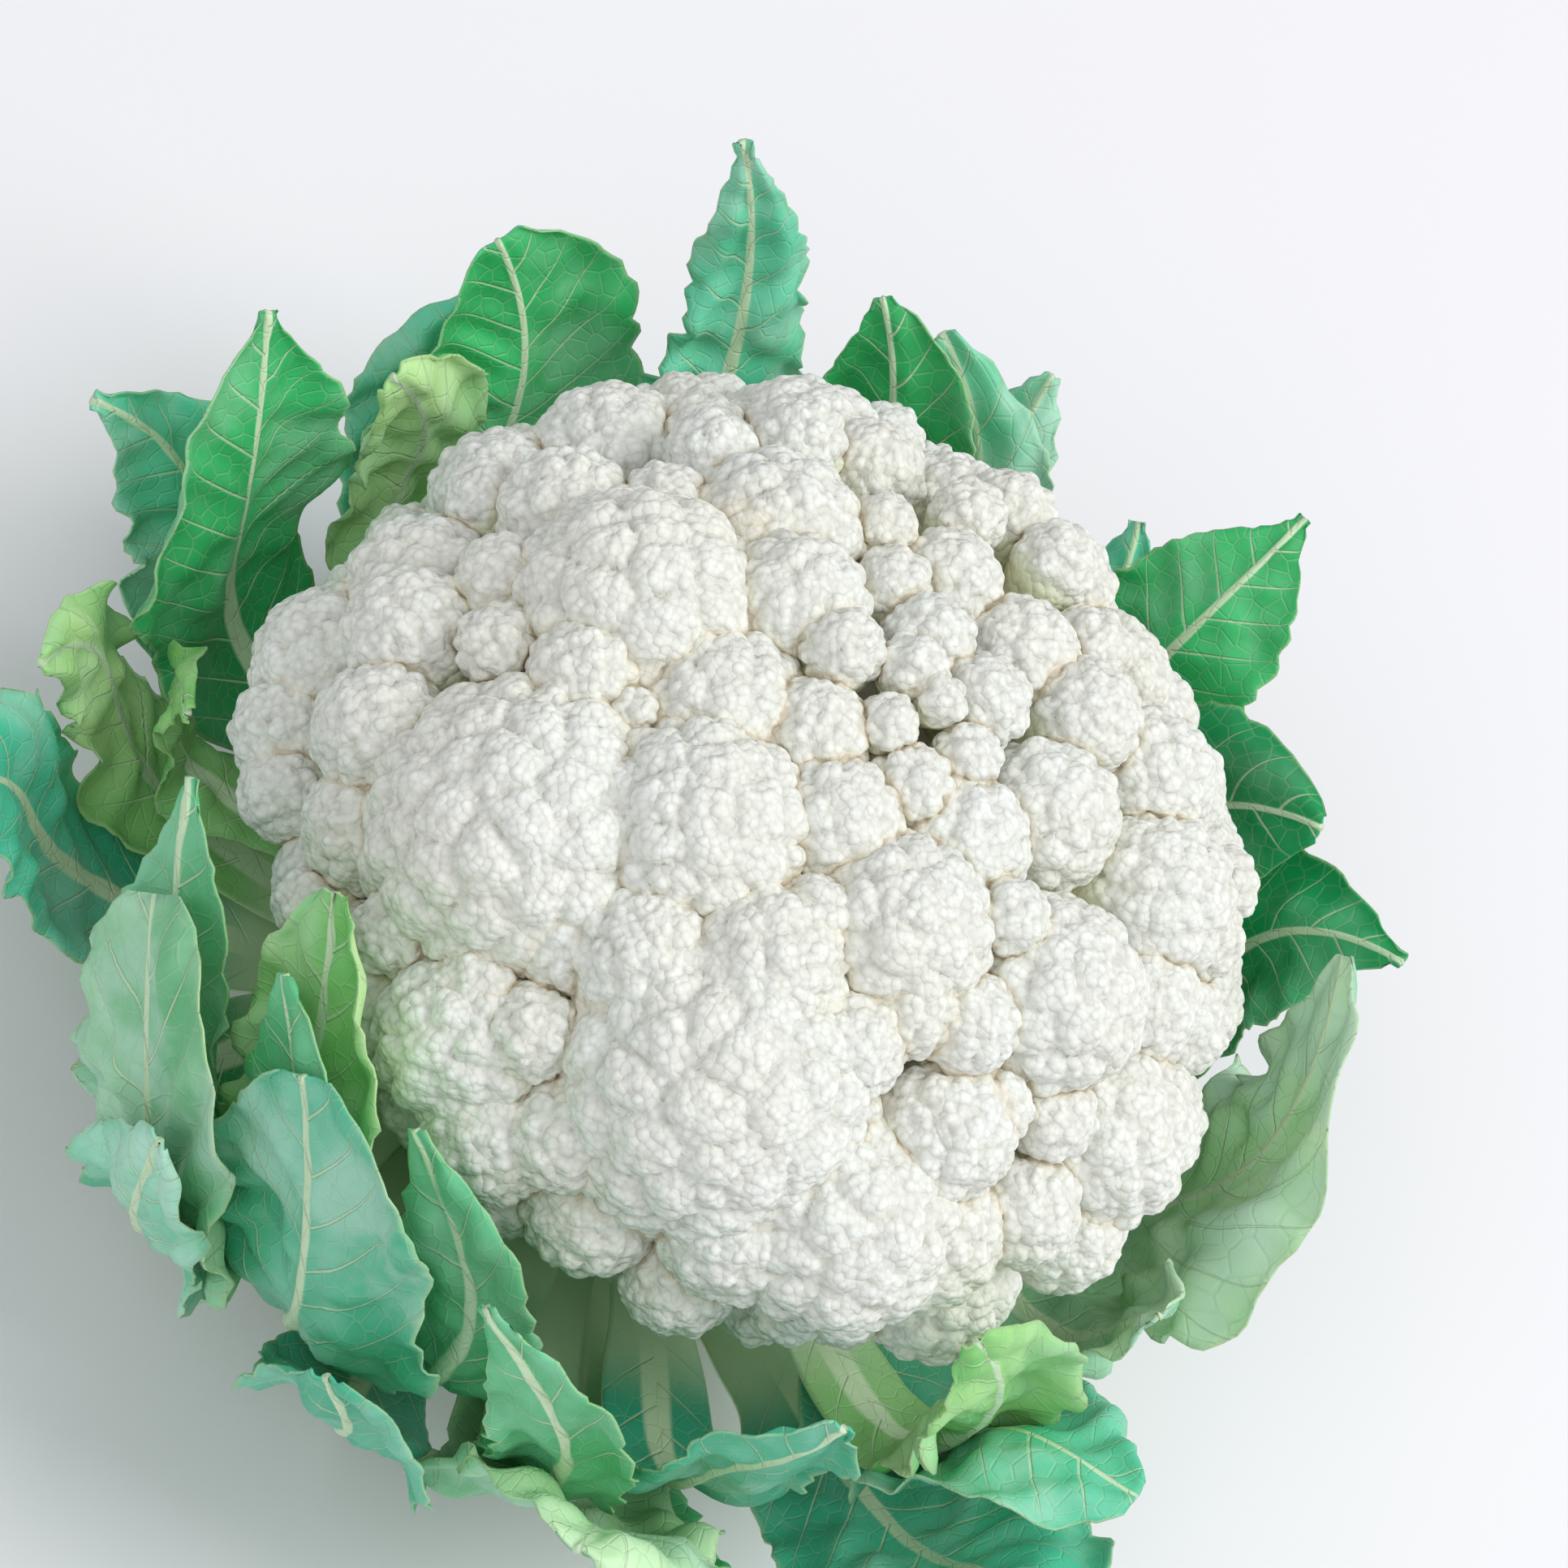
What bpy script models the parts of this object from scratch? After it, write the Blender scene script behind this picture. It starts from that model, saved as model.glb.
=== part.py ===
"""A whole white cauliflower: its lobed curd, its cut stalk and its jagged wrapper leaves.

Metres, +Z up. The origin is the middle of the stalk's cut face, on which the head stands.
"""

import math
import random
from collections import namedtuple

import bmesh
import bpy
import numpy as np
from mathutils import Vector

MM = 0.001
GAP = 0.4 * MM

# The curd: a flattened dome that florets stand out of, on a short stalk.
RING_RADIUS = 83 * MM
RING_HEIGHT = 85 * MM
CROWN_HEIGHT = 60 * MM
SKIRT_DEPTH = 29 * MM
UNDERSIDE_HEIGHT = 50 * MM
CORE_SHARE = 0.89
CURD_EYE = np.array([0, 0, RING_HEIGHT - 6 * MM])
FLORET_SPREAD = 1.15
FLORET_LIFT = 2.4 * MM
FLORET_LIFT_SHARE = 0.13

STALK_RADIUS = 20 * MM
STALK_CHAMFER = 1.5 * MM
STALK_NECK_HEIGHT = 30 * MM
STALK_NECK_RADIUS = 17.5 * MM
STALK_SIDES = 28

# What shows from the picture's side is placed as the picture shows it, in its pixels, and
# carried onto the dome along the line of sight.
PICTURE_CENTRE = (927, 1069)
PICTURE_SCALE = 0.1357 * MM
PICTURE_ROLL = math.radians(40)
PICTURE_ELEVATION = math.radians(52)
PICTURE_DISTANCE = 0.9
SIGHTING_SHRINKS = np.linspace(1, 0.5, 51)

# The florets stand in clusters, each a swelling of the dome.
SEEN_CLUSTERS = {
    # name: (x, y, radius)
    "front": (890, 1300, 215),
    "left": (620, 1010, 175),
    "middle": (865, 1012, 130),
    "upper": (755, 725, 170),
    "far_left": (400, 850, 195),
    "crown_left": (690, 550, 140),
    "crown_back": (1000, 565, 150),
    "crown_middle": (1000, 780, 120),
    "right_high": (1270, 680, 165),
    "right_buds": (1150, 850, 110),
    "right": (1400, 890, 140),
    "centre_right": (1090, 1130, 145),
    "right_front": (1290, 1225, 150),
    "right_rim": (1470, 1130, 120),
    "left_front": (600, 1360, 180),
    "bottom": (1040, 1500, 200),
    "bottom_right": (1380, 1480, 150),
}
CLUSTER_RISE_SHARE = 0.27
HIDDEN_CLUSTER_SEED = 12
HIDDEN_CLUSTER_TRIES = 600
HIDDEN_CLUSTER_LARGEST = 27 * MM
HIDDEN_CLUSTER_SMALLEST = 14 * MM

SEEN_FLORETS = {
    # name: (x, y, radius)
    "front_dome": (880, 1345, 172),
    "front_dome_back_left": (795, 1180, 80),
    "front_dome_back": (945, 1190, 88),
    "front_dome_right": (1045, 1290, 62),
    "big_left": (620, 1010, 165),
    "big_middle": (862, 1010, 118),
    "small_between": (692, 1162, 56),
    "upper_big": (785, 715, 132),
    "upper_big_left": (612, 700, 52),
    "upper_big_foot": (718, 822, 60),
    "upper_big_low_left": (610, 785, 46),
    "left_high": (480, 685, 88),
    "left_high_middle": (495, 768, 72),
    "left_edge": (345, 790, 88),
    "left_low": (350, 900, 64),
    "left_middle": (455, 895, 72),
    "left_foot": (415, 1012, 68),
    "left_foot_edge": (325, 975, 52),
    "crown_left_edge": (590, 570, 78),
    "crown_left": (690, 600, 74),
    "crown_left_back": (740, 515, 88),
    "crown_gap": (820, 600, 50),
    "crown_back": (1000, 505, 108),
    "crown_back_right": (1080, 560, 62),
    "crown_middle": (965, 618, 102),
    "crown_middle_low": (925, 645, 44),
    "round_high": (988, 725, 80),
    "round_small": (1037, 800, 45),
    "round_middle": (893, 842, 94),
    "round_low": (1012, 887, 63),
    "pip": (783, 872, 26),
    "bud_1": (1095, 890, 33),
    "bud_2": (1150, 872, 28),
    "bud_3": (1135, 962, 47),
    "bud_4": (1122, 828, 38),
    "bud_5": (1196, 930, 38),
    "bud_6": (1110, 705, 44),
    "bud_7": (1155, 775, 50),
    "bud_8": (1222, 855, 52),
    "bud_9": (1092, 640, 38),
    "middle_right": (1042, 1003, 73),
    "middle_right_far": (1210, 1022, 78),
    "middle_right_edge": (1330, 985, 80),
    "right_high": (1190, 590, 64),
    "right_high_low": (1188, 692, 60),
    "right_high_far": (1240, 640, 56),
    "right_shoulder": (1320, 695, 82),
    "right_shoulder_low": (1285, 785, 70),
    "right_shoulder_far": (1400, 805, 78),
    "right_side": (1350, 875, 64),
    "right_side_far": (1432, 945, 74),
    "right_low": (1120, 1140, 100),
    "right_low_foot": (1125, 1240, 54),
    "gap_middle": (1000, 1130, 44),
    "right_front": (1322, 1230, 104),
    "right_front_left": (1200, 1262, 56),
    "right_front_high": (1245, 1130, 42),
    "right_rim_high": (1455, 1100, 92),
    "right_rim": (1445, 1240, 74),
    "right_rim_low": (1400, 1420, 112),
    "right_rim_foot": (1348, 1560, 72),
    "bottom_right": (1270, 1500, 64),
    "bottom_right_high": (1180, 1405, 78),
    "bottom_right_bud": (1235, 1370, 46),
    "bottom_big": (1045, 1530, 122),
    "bottom_big_left": (905, 1532, 80),
    "bottom_big_right": (1155, 1545, 86),
    "left_front": (560, 1290, 98),
    "left_front_low": (605, 1400, 74),
    "left_front_right": (690, 1400, 62),
    "left_front_foot": (715, 1515, 74),
    "left_front_edge": (600, 1480, 62),
    "left_front_bud": (590, 1215, 44),
    "left_front_far": (480, 1150, 48),
    "left_front_inner": (655, 1272, 52),
    "behind_front_dome": (765, 1440, 58),
}

# The florets on the sides that the picture hides fill the dome by a rule.
HIDDEN_SEED = 7
HIDDEN_TRIES = 5200
HIDDEN_LARGEST = 19 * MM
HIDDEN_SMALLEST = 6.5 * MM
HIDDEN_CLEAR_SHARE = 0.84
HIDDEN_LOWEST = 57 * MM
HIDDEN_HEIGHTS = (-0.93, 0.98)
HIDDEN_SIZES = (0.92, 1.06)

# The buds of the solid: low domes about as far apart as BUD_SPACING, never nearer than its
# BUD_NEAREST_SHARE, and only where BUD_INSIDE_SHARE of no other floret's radius covers them.
BUD_SPACING = 13.4 * MM
BUD_NEAREST_SHARE = 0.62
BUD_INSIDE_SHARE = 0.985
BUD_OUTSIDE = 1.001
BUD_REACH = math.radians(85)
BUD_RISE = 1.5 * MM
BUD_CREASE = 0.9 * MM
BUD_RING_SHARE = 0.62
BUD_RING_RISE_SHARE = 0.8
UNDERSIDE_MARGIN = 2 * MM
UNDERSIDE_RING_SHARES = ((0.30, 6), (0.62, 12))

# The wrapper leaves sit in five layers round the stalk, the innermost highest. A layer has
# the height of its leaves' feet and their slope there in degrees, their straight run under
# the curd, the length of their turn upwards and their slope at the shoulder where it ends.
Layer = namedtuple("Layer", "foot foot_slope run turn slope")
LAYERS = (
    Layer(foot=43 * MM, foot_slope=1, run=55.5 * MM, turn=33 * MM, slope=84),
    Layer(foot=35 * MM, foot_slope=4.6, run=56.5 * MM, turn=37 * MM, slope=79),
    Layer(foot=27 * MM, foot_slope=7.8, run=57.5 * MM, turn=41 * MM, slope=73),
    Layer(foot=19 * MM, foot_slope=11, run=58.5 * MM, turn=44 * MM, slope=67),
    Layer(foot=11 * MM, foot_slope=14, run=59.5 * MM, turn=47 * MM, slope=61),
)
FOOT_RADIUS = STALK_RADIUS + GAP

# A leaf: its layer; its azimuths in degrees at the foot, the shoulder and the tip; its
# reach past the shoulder; the slope at its tip and the blade's twist in degrees; its largest
# half width; where along its length that is; its half width at the tip; and the wave and curl of
# its edges.
Leaf = namedtuple("Leaf", "layer foot blade tip reach slope twist width widest point wave curl")
LEAVES = {
    "leaf_dark_right": Leaf(0, 47, 58, 48, 34 * MM, 64, -6, 25 * MM, 0.72, 8.0 * MM, 1.2 * MM, 1.2 * MM),
    "leaf_back_right": Leaf(0, 108, 106, 116, 48 * MM, 76, 0, 21 * MM, 0.68, 6.0 * MM, 1.2 * MM, 1.6 * MM),
    "leaf_pale_inner": Leaf(0, 165, 158, 167, 32 * MM, 80, 0, 16 * MM, 0.74, 9.0 * MM, 1.2 * MM, 3.4 * MM),
    "leaf_small_left": Leaf(0, 203, 200, 209, 18 * MM, 92, 0, 10 * MM, 0.76, 3.0 * MM, 0.8 * MM, 3.4 * MM),
    "leaf_ruffled_front": Leaf(0, 243, 256, 240, 54 * MM, 106, 0, 20 * MM, 0.76, 9.0 * MM, 0.6 * MM, 3.4 * MM),
    "leaf_green_front": Leaf(0, 284, 278, 262, 42 * MM, 96, 0, 15 * MM, 0.74, 4.0 * MM, 0.8 * MM, 1.6 * MM),
    "leaf_ruffled_right": Leaf(0, 327, 332, 320, 46 * MM, 98, 0, 17 * MM, 0.78, 6.0 * MM, 0.8 * MM, 3.4 * MM),
    "leaf_low_right": Leaf(0, 6, -5, -9, 20 * MM, 80, 0, 15 * MM, 0.76, 6.0 * MM, 1.2 * MM, 1.2 * MM),
    "leaf_pale_right": Leaf(1, 14, 17, 33, 38 * MM, 94, 0, 29 * MM, 0.70, 13.0 * MM, 1.4 * MM, 5.4 * MM),
    "leaf_pointed_right": Leaf(1, 72, 72, 74, 54 * MM, 40, -8, 26 * MM, 0.66, 2.4 * MM, 1.6 * MM, 1.6 * MM),
    "leaf_tall_back": Leaf(1, 127, 124, 134, 70 * MM, 78, 0, 15 * MM, 0.68, 2.2 * MM, 1.2 * MM, 5.0 * MM),
    "leaf_big_left": Leaf(1, 185, 181, 177, 50 * MM, 58, 12, 28 * MM, 0.70, 2.4 * MM, 1.6 * MM, 1.6 * MM),
    "leaf_jagged_left": Leaf(1, 226, 238, 224, 44 * MM, 92, -14, 18 * MM, 0.72, 2.6 * MM, 1.2 * MM, 1.6 * MM),
    "leaf_folded_left": Leaf(1, 262, 261, 245, 50 * MM, 96, 0, 18 * MM, 0.76, 6.0 * MM, 1.2 * MM, 1.6 * MM),
    "leaf_teal_fold": Leaf(1, 305, 305, 308, 40 * MM, 84, 0, 19 * MM, 0.76, 6.0 * MM, 1.4 * MM, 2.0 * MM),
    "leaf_far_right": Leaf(2, 37, 45, 37, 34 * MM, 50, -6, 21 * MM, 0.72, 2.4 * MM, 1.8 * MM, 1.2 * MM),
    "leaf_strap_back": Leaf(2, 101, 95, 107, 36 * MM, 60, 0, 17 * MM, 0.70, 7.0 * MM, 1.6 * MM, 1.6 * MM),
    "leaf_broad_back": Leaf(2, 150, 143, 149, 38 * MM, 64, 0, 29 * MM, 0.70, 14.0 * MM, 1.2 * MM, 1.6 * MM),
    "leaf_rolled_front": Leaf(2, 252, 265, 253, 50 * MM, 100, 0, 26 * MM, 0.78, 15.0 * MM, 1.4 * MM, 0.3 * MM),
    "leaf_small_front": Leaf(2, 290, 291, 276, 46 * MM, 90, 0, 14 * MM, 0.76, 3.0 * MM, 1.2 * MM, 1.6 * MM),
    "leaf_gray_right": Leaf(1, 336, 335, 338, 31 * MM, 10, 0, 24 * MM, 0.72, 12.0 * MM, 1.6 * MM, 5.0 * MM),
    "leaf_lobe_back": Leaf(3, 92, 96, 97, 38 * MM, 54, 0, 14 * MM, 0.72, 5.0 * MM, 1.8 * MM, 4.2 * MM),
    "leaf_far_left": Leaf(3, 172, 180, 186, 38 * MM, 34, 8, 18 * MM, 0.70, 2.4 * MM, 2.0 * MM, 5.0 * MM),
    "leaf_pale_left": Leaf(3, 205, 198, 206, 22 * MM, 48, 0, 16 * MM, 0.74, 6.0 * MM, 1.2 * MM, 3.4 * MM),
    "leaf_white_curl": Leaf(3, 237, 248, 232, 40 * MM, 112, 0, 25 * MM, 0.80, 16.0 * MM, 1.4 * MM, 3.9 * MM),
    "leaf_gray_front": Leaf(3, 298, 295, 292, 24 * MM, 30, 0, 28 * MM, 0.76, 14.0 * MM, 1.6 * MM, 5.4 * MM),
    "leaf_base_right": Leaf(4, 20, 19, 20, 12 * MM, 66, 0, 18 * MM, 0.76, 9.0 * MM, 1.6 * MM, 1.6 * MM),
    "leaf_base_back": Leaf(4, 74, 80, 84, 26 * MM, 50, 0, 19 * MM, 0.76, 3.0 * MM, 1.6 * MM, 2.0 * MM),
    "leaf_base_left": Leaf(4, 148, 147, 146, 20 * MM, 60, 0, 23 * MM, 0.76, 9.0 * MM, 1.6 * MM, 5.0 * MM),
    "leaf_long_left": Leaf(4, 210, 213, 219, 32 * MM, 34, 0, 21 * MM, 0.76, 4.0 * MM, 1.4 * MM, 2.0 * MM),
    "leaf_spotted_left": Leaf(4, 240, 251, 250, 38 * MM, 86, 0, 16 * MM, 0.78, 7.0 * MM, 1.6 * MM, 5.0 * MM),
    "leaf_dark_front": Leaf(4, 270, 274, 270, 28 * MM, 76, 0, 20 * MM, 0.78, 9.0 * MM, 1.6 * MM, 2.0 * MM),
    "leaf_bright_front": Leaf(4, 300, 306, 306, 16 * MM, 56, 0, 13 * MM, 0.78, 4.0 * MM, 1.0 * MM, 1.6 * MM),
    "leaf_big_front": Leaf(4, 334, 330, 325, 30 * MM, 24, -4, 29 * MM, 0.76, 4.0 * MM, 2.0 * MM, 2.0 * MM),
}

SMALLEST_TIP = 2.2 * MM
PETIOLE_SHARE = 0.25
PETIOLE_SMALLEST = 4.2 * MM
PETIOLE_GROWTH = 1.5
PETIOLE_END = 0.26
PETIOLE_ROUND_UNTIL = 0.1
PETIOLE_FLATTENING = 0.35
BLADE_THICKNESS = 0.9 * MM
RIB_FOOT_THICKNESS = 4.3 * MM
RIB_TIP_THICKNESS = 0.5 * MM
RIB_HALF_WIDTH_SHARE = 0.16
RIB_LENGTH_SHARE = 0.95
RIB_THINNING = 0.8
RIB_SIDE_SHARE = 0.75
OUTLINE_FULLNESS = 1.7
TIP_ROUNDING = 0.8
TIP_ROUNDNESS = 6
BLADE_COLUMN_SHARE = 0.55
EDGE_LOBE_DEPTH = 0.15
EDGE_LOBE_FADE = 0.15
MIDLINE_STEPS = 240
TIP_BEND = 2
RIPPLES = 9
RIPPLE_SLANT = 2.5
WAVE_START = 0.45
TWIST_START = 0.5
CURL_START = 0.3
CURL_EVEN = 0.55
CURL_SWING = 0.6
CURL_RIPPLES = 9
CURL_SHIFT = 2
BLADE_OPENING = 0.3
NORMAL_STEP = 0.004
NORMAL_SIDE_STEP = 0.05
INSIDE_EDGE = 0.99
WIDE_LEAF = 21 * MM
WIDE_LEAF_ROWS = 10
NARROW_LEAF_ROWS = 8

CURD_COLOUR = (0.86, 0.83, 0.76, 1.0)
STALK_COLOUR = (0.62, 0.72, 0.48, 1.0)
LEAF_COLOUR = (0.06, 0.34, 0.14, 1.0)


def clear_scene():
    for obj in list(bpy.data.objects):
        bpy.data.objects.remove(obj)


def material(name, colour, roughness):
    """A plain Principled material."""
    made = bpy.data.materials.new(name)
    made.use_nodes = True
    shader = made.node_tree.nodes["Principled BSDF"]
    shader.inputs["Base Color"].default_value = colour
    shader.inputs["Roughness"].default_value = roughness
    shader.inputs["Metallic"].default_value = 0.0
    return made


def smooth(x):
    """0 to 1 with level ends, for x from 0 to 1."""
    x = min(max(x, 0.0), 1.0)
    return x * x * (3 - 2 * x)


def add_object(name, points, faces, finish, smooth_angle):
    """One named mesh object with its normals out and its facets shaded smooth."""
    mesh = bpy.data.meshes.new(name)
    mesh.from_pydata([tuple(p) for p in points], [], faces)
    work = bmesh.new()
    work.from_mesh(mesh)
    bmesh.ops.recalc_face_normals(work, faces=work.faces)
    work.to_mesh(mesh)
    work.free()
    mesh.shade_smooth()
    mesh.set_sharp_from_angle(angle=math.radians(smooth_angle))
    mesh.materials.append(finish)
    obj = bpy.data.objects.new(name, mesh)
    bpy.context.scene.collection.objects.link(obj)
    return obj


def dome_radii(z_sign):
    """The dome's half axes above or below its widest ring."""
    return np.array([RING_RADIUS, RING_RADIUS, CROWN_HEIGHT if z_sign > 0 else SKIRT_DEPTH])


def dome_normal(point):
    """The outward normal of the dome at a point on it."""
    radii = dome_radii(point[2] - RING_HEIGHT)
    normal = (point - np.array([0, 0, RING_HEIGHT])) / radii**2
    return normal / np.linalg.norm(normal)


def dome_sighting(x, y):
    """The point of the dome that the picture shows at the pixel (x, y), or else nearly shows."""
    dx = (x - PICTURE_CENTRE[0]) * PICTURE_SCALE
    dy = (y - PICTURE_CENTRE[1]) * PICTURE_SCALE
    sideways = dx * math.cos(PICTURE_ROLL) + dy * math.sin(PICTURE_ROLL)
    upward = dx * math.sin(PICTURE_ROLL) - dy * math.cos(PICTURE_ROLL)
    sine, cosine = math.sin(PICTURE_ELEVATION), math.cos(PICTURE_ELEVATION)
    eye = np.array([0, -cosine, sine]) * PICTURE_DISTANCE
    for shrink in SIGHTING_SHRINKS:
        start = np.array([sideways, upward * sine, upward * cosine]) * shrink
        towards = (eye - start) / np.linalg.norm(eye - start)
        for z_sign in (1, -1):
            radii = dome_radii(z_sign)
            a = np.sum((towards / radii) ** 2)
            b = 2 * np.sum(start * towards / radii**2)
            c = np.sum((start / radii) ** 2) - 1
            if b * b >= 4 * a * c:
                hit = start + towards * (-b + math.sqrt(b * b - 4 * a * c)) / (2 * a)
                if hit[2] * z_sign >= 0:
                    return hit + np.array([0, 0, RING_HEIGHT])
    raise ValueError("the pixel lies far outside the curd")


def sighted(table, spread):
    """(surface point, radius) of each entry of a table that the picture shows."""
    return [(dome_sighting(x, y), radius * PICTURE_SCALE * spread) for x, y, radius in table.values()]


def filled(seen, seed, tries, largest, smallest):
    """The seen ones, and others over the rest of the dome, each as large as it finds room for."""
    draw = random.Random(seed)
    placed = list(seen)
    for _ in range(tries):
        azimuth = draw.uniform(0, 2 * math.pi)
        height = draw.uniform(*HIDDEN_HEIGHTS)
        level = math.sqrt(1 - height * height)
        unit = np.array([level * math.cos(azimuth), level * math.sin(azimuth), height])
        point = unit * dome_radii(height) + np.array([0, 0, RING_HEIGHT])
        if point[2] < HIDDEN_LOWEST:
            continue
        room = min(
            np.linalg.norm(point - other) - HIDDEN_CLEAR_SHARE * radius for other, radius in placed
        )
        radius = min(room / HIDDEN_CLEAR_SHARE, largest)
        if radius > smallest:
            placed.append((point, radius * draw.uniform(*HIDDEN_SIZES)))
    return placed


def swelling(point, clusters):
    """How far the clusters lift the dome's surface at a point on it."""
    rises = []
    for middle, radius in clusters:
        apart = np.linalg.norm(point - middle) / radius
        rises.append(CLUSTER_RISE_SHARE * radius * max(1 - apart**2, 0))
    return max(rises)


def floret_balls():
    """(centres, radii) of the balls that the florets' heads are."""
    clusters = filled(
        sighted(SEEN_CLUSTERS, 1),
        HIDDEN_CLUSTER_SEED,
        HIDDEN_CLUSTER_TRIES,
        HIDDEN_CLUSTER_LARGEST,
        HIDDEN_CLUSTER_SMALLEST,
    )
    florets = filled(
        sighted(SEEN_FLORETS, FLORET_SPREAD), HIDDEN_SEED, HIDDEN_TRIES, HIDDEN_LARGEST, HIDDEN_SMALLEST
    )
    centres = []
    for point, radius in florets:
        lift = FLORET_LIFT + swelling(point, clusters)
        centres.append(point - dome_normal(point) * (radius * (1 - FLORET_LIFT_SHARE) - lift))
    return np.array(centres), np.array([radius for _, radius in florets])


def curd_reach(directions, centres, radii):
    """How far the curd's lobed surface lies from its eye point along each unit direction."""
    core = dome_radii(1) * CORE_SHARE
    reach = 1 / np.sqrt(np.sum((directions / core) ** 2, axis=1))
    for centre, radius in zip(centres - CURD_EYE, radii):
        along = directions @ centre
        inside = along**2 - centre @ centre + radius**2
        hit = inside > 0
        reach[hit] = np.maximum(reach[hit], along[hit] + np.sqrt(inside[hit]))
    down = np.maximum(-directions[:, 2], 1e-6)
    return np.minimum(reach, (CURD_EYE[2] - UNDERSIDE_HEIGHT) / down)


def across(axis):
    """Two unit vectors square to an axis and to each other."""
    helper = np.array([0.0, 0.0, 1.0]) if abs(axis[2]) < 0.9 else np.array([1.0, 0.0, 0.0])
    first = np.cross(axis, helper)
    first /= np.linalg.norm(first)
    return first, np.cross(axis, first)


def bud_directions(centres, radii):
    """Unit directions from the curd's eye point to its buds: rings of them on every floret."""
    kept = []

    def keep(point):
        outside = np.linalg.norm(centres - point, axis=1) > radii * BUD_INSIDE_SHARE
        direction = (point - CURD_EYE) / np.linalg.norm(point - CURD_EYE)
        on_top = point[2] > UNDERSIDE_HEIGHT + UNDERSIDE_MARGIN
        spaced = all(np.linalg.norm(point - other) > BUD_NEAREST_SHARE * BUD_SPACING for other, _ in kept)
        if outside.all() and on_top and spaced:
            kept.append((point, direction))

    order = np.argsort(-radii)
    for i in order:
        axis = centres[i] - CURD_EYE
        axis /= np.linalg.norm(axis)
        side, up = across(axis)
        keep(centres[i] + axis * radii[i] * BUD_OUTSIDE)
        rings = int(radii[i] * BUD_REACH / BUD_SPACING)
        for ring in range(1, rings + 1):
            tilt = ring * BUD_SPACING / radii[i]
            count = max(3, round(2 * math.pi * radii[i] * math.sin(tilt) / BUD_SPACING))
            for k in range(count):
                turn = 2 * math.pi * (k + 0.5 * (ring % 2)) / count + i
                lean = side * math.cos(turn) + up * math.sin(turn)
                keep(centres[i] + (axis * math.cos(tilt) + lean * math.sin(tilt)) * radii[i] * BUD_OUTSIDE)
    return np.array([direction for _, direction in kept])


def underside_directions():
    """Unit directions from the eye point to a few rings on the curd's flat underside."""
    found = [np.array([0.0, 0.0, -1.0])]
    for share, count in UNDERSIDE_RING_SHARES:
        radius = share * RING_RADIUS
        for k in range(count):
            turn = 2 * math.pi * k / count
            point = np.array([radius * math.cos(turn), radius * math.sin(turn), UNDERSIDE_HEIGHT])
            found.append((point - CURD_EYE) / np.linalg.norm(point - CURD_EYE))
    return np.array(found)


def neighbours_of(directions):
    """The triangles that join neighbouring directions all round, as in their convex hull."""
    work = bmesh.new()
    for i, direction in enumerate(directions):
        work.verts.new(direction).index = i
    bmesh.ops.convex_hull(work, input=work.verts)
    work.verts.index_update()
    triangles = [[v.index for v in face.verts] for face in work.faces]
    work.free()
    return triangles


def build_curd(finish):
    """Every bud is a low dome with its own crease round it, over the lobes of the florets."""
    centres, radii = floret_balls()
    buds = bud_directions(centres, radii)
    base = underside_directions()
    directions = np.vstack([buds, base])
    triangles = neighbours_of(directions)

    corners = np.array([directions[t].sum(axis=0) for t in triangles])
    corners /= np.linalg.norm(corners, axis=1)[:, None]
    around = [[] for _ in directions]
    for t, triangle in enumerate(triangles):
        for v in triangle:
            around[v].append(t)

    points = list(directions)
    rises = [BUD_RISE if i < len(buds) else 0.0 for i in range(len(directions))]
    corner_at = len(points)
    points += list(corners)
    rises += [-BUD_CREASE] * len(corners)
    faces = []
    for v, ring in enumerate(around):
        side, up = across(directions[v])
        ring.sort(key=lambda t: math.atan2(corners[t] @ up, corners[t] @ side))
        inner_at = len(points)
        for t in ring:
            inner = directions[v] * (1 - BUD_RING_SHARE) + corners[t] * BUD_RING_SHARE
            points.append(inner / np.linalg.norm(inner))
            rises.append(BUD_RISE * BUD_RING_RISE_SHARE if v < len(buds) else 0.0)
        for k, t in enumerate(ring):
            after = (k + 1) % len(ring)
            faces.append((v, inner_at + k, inner_at + after))
            faces.append((inner_at + k, corner_at + t, corner_at + ring[after]))
            faces.append((inner_at + k, corner_at + ring[after], inner_at + after))

    points = np.array(points)
    reach = curd_reach(points, centres, radii) + np.array(rises)
    down = np.maximum(-points[:, 2], 1e-6)
    reach = np.minimum(reach, (CURD_EYE[2] - UNDERSIDE_HEIGHT) / down)
    return add_object("curd", points * reach[:, None] + CURD_EYE, faces, finish, 50)


def build_stalk(finish):
    """The thick stalk, cut square at the bottom, narrowing to where the curd's branches start."""
    profile = (
        (STALK_RADIUS - STALK_CHAMFER, 0.0),
        (STALK_RADIUS, STALK_CHAMFER),
        (STALK_RADIUS, STALK_NECK_HEIGHT),
        (STALK_NECK_RADIUS, UNDERSIDE_HEIGHT - GAP),
    )
    points, faces = [], []
    for radius, height in profile:
        for k in range(STALK_SIDES):
            turn = 2 * math.pi * k / STALK_SIDES
            points.append((radius * math.cos(turn), radius * math.sin(turn), height))
    for row in range(len(profile) - 1):
        for k in range(STALK_SIDES):
            after = (k + 1) % STALK_SIDES
            low, high = row * STALK_SIDES, (row + 1) * STALK_SIDES
            faces.append((low + k, low + after, high + after, high + k))
    faces.append(tuple(reversed(range(STALK_SIDES))))
    faces.append(tuple(range((len(profile) - 1) * STALK_SIDES, len(profile) * STALK_SIDES)))
    return add_object("stalk", points, faces, finish, 40)


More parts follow.
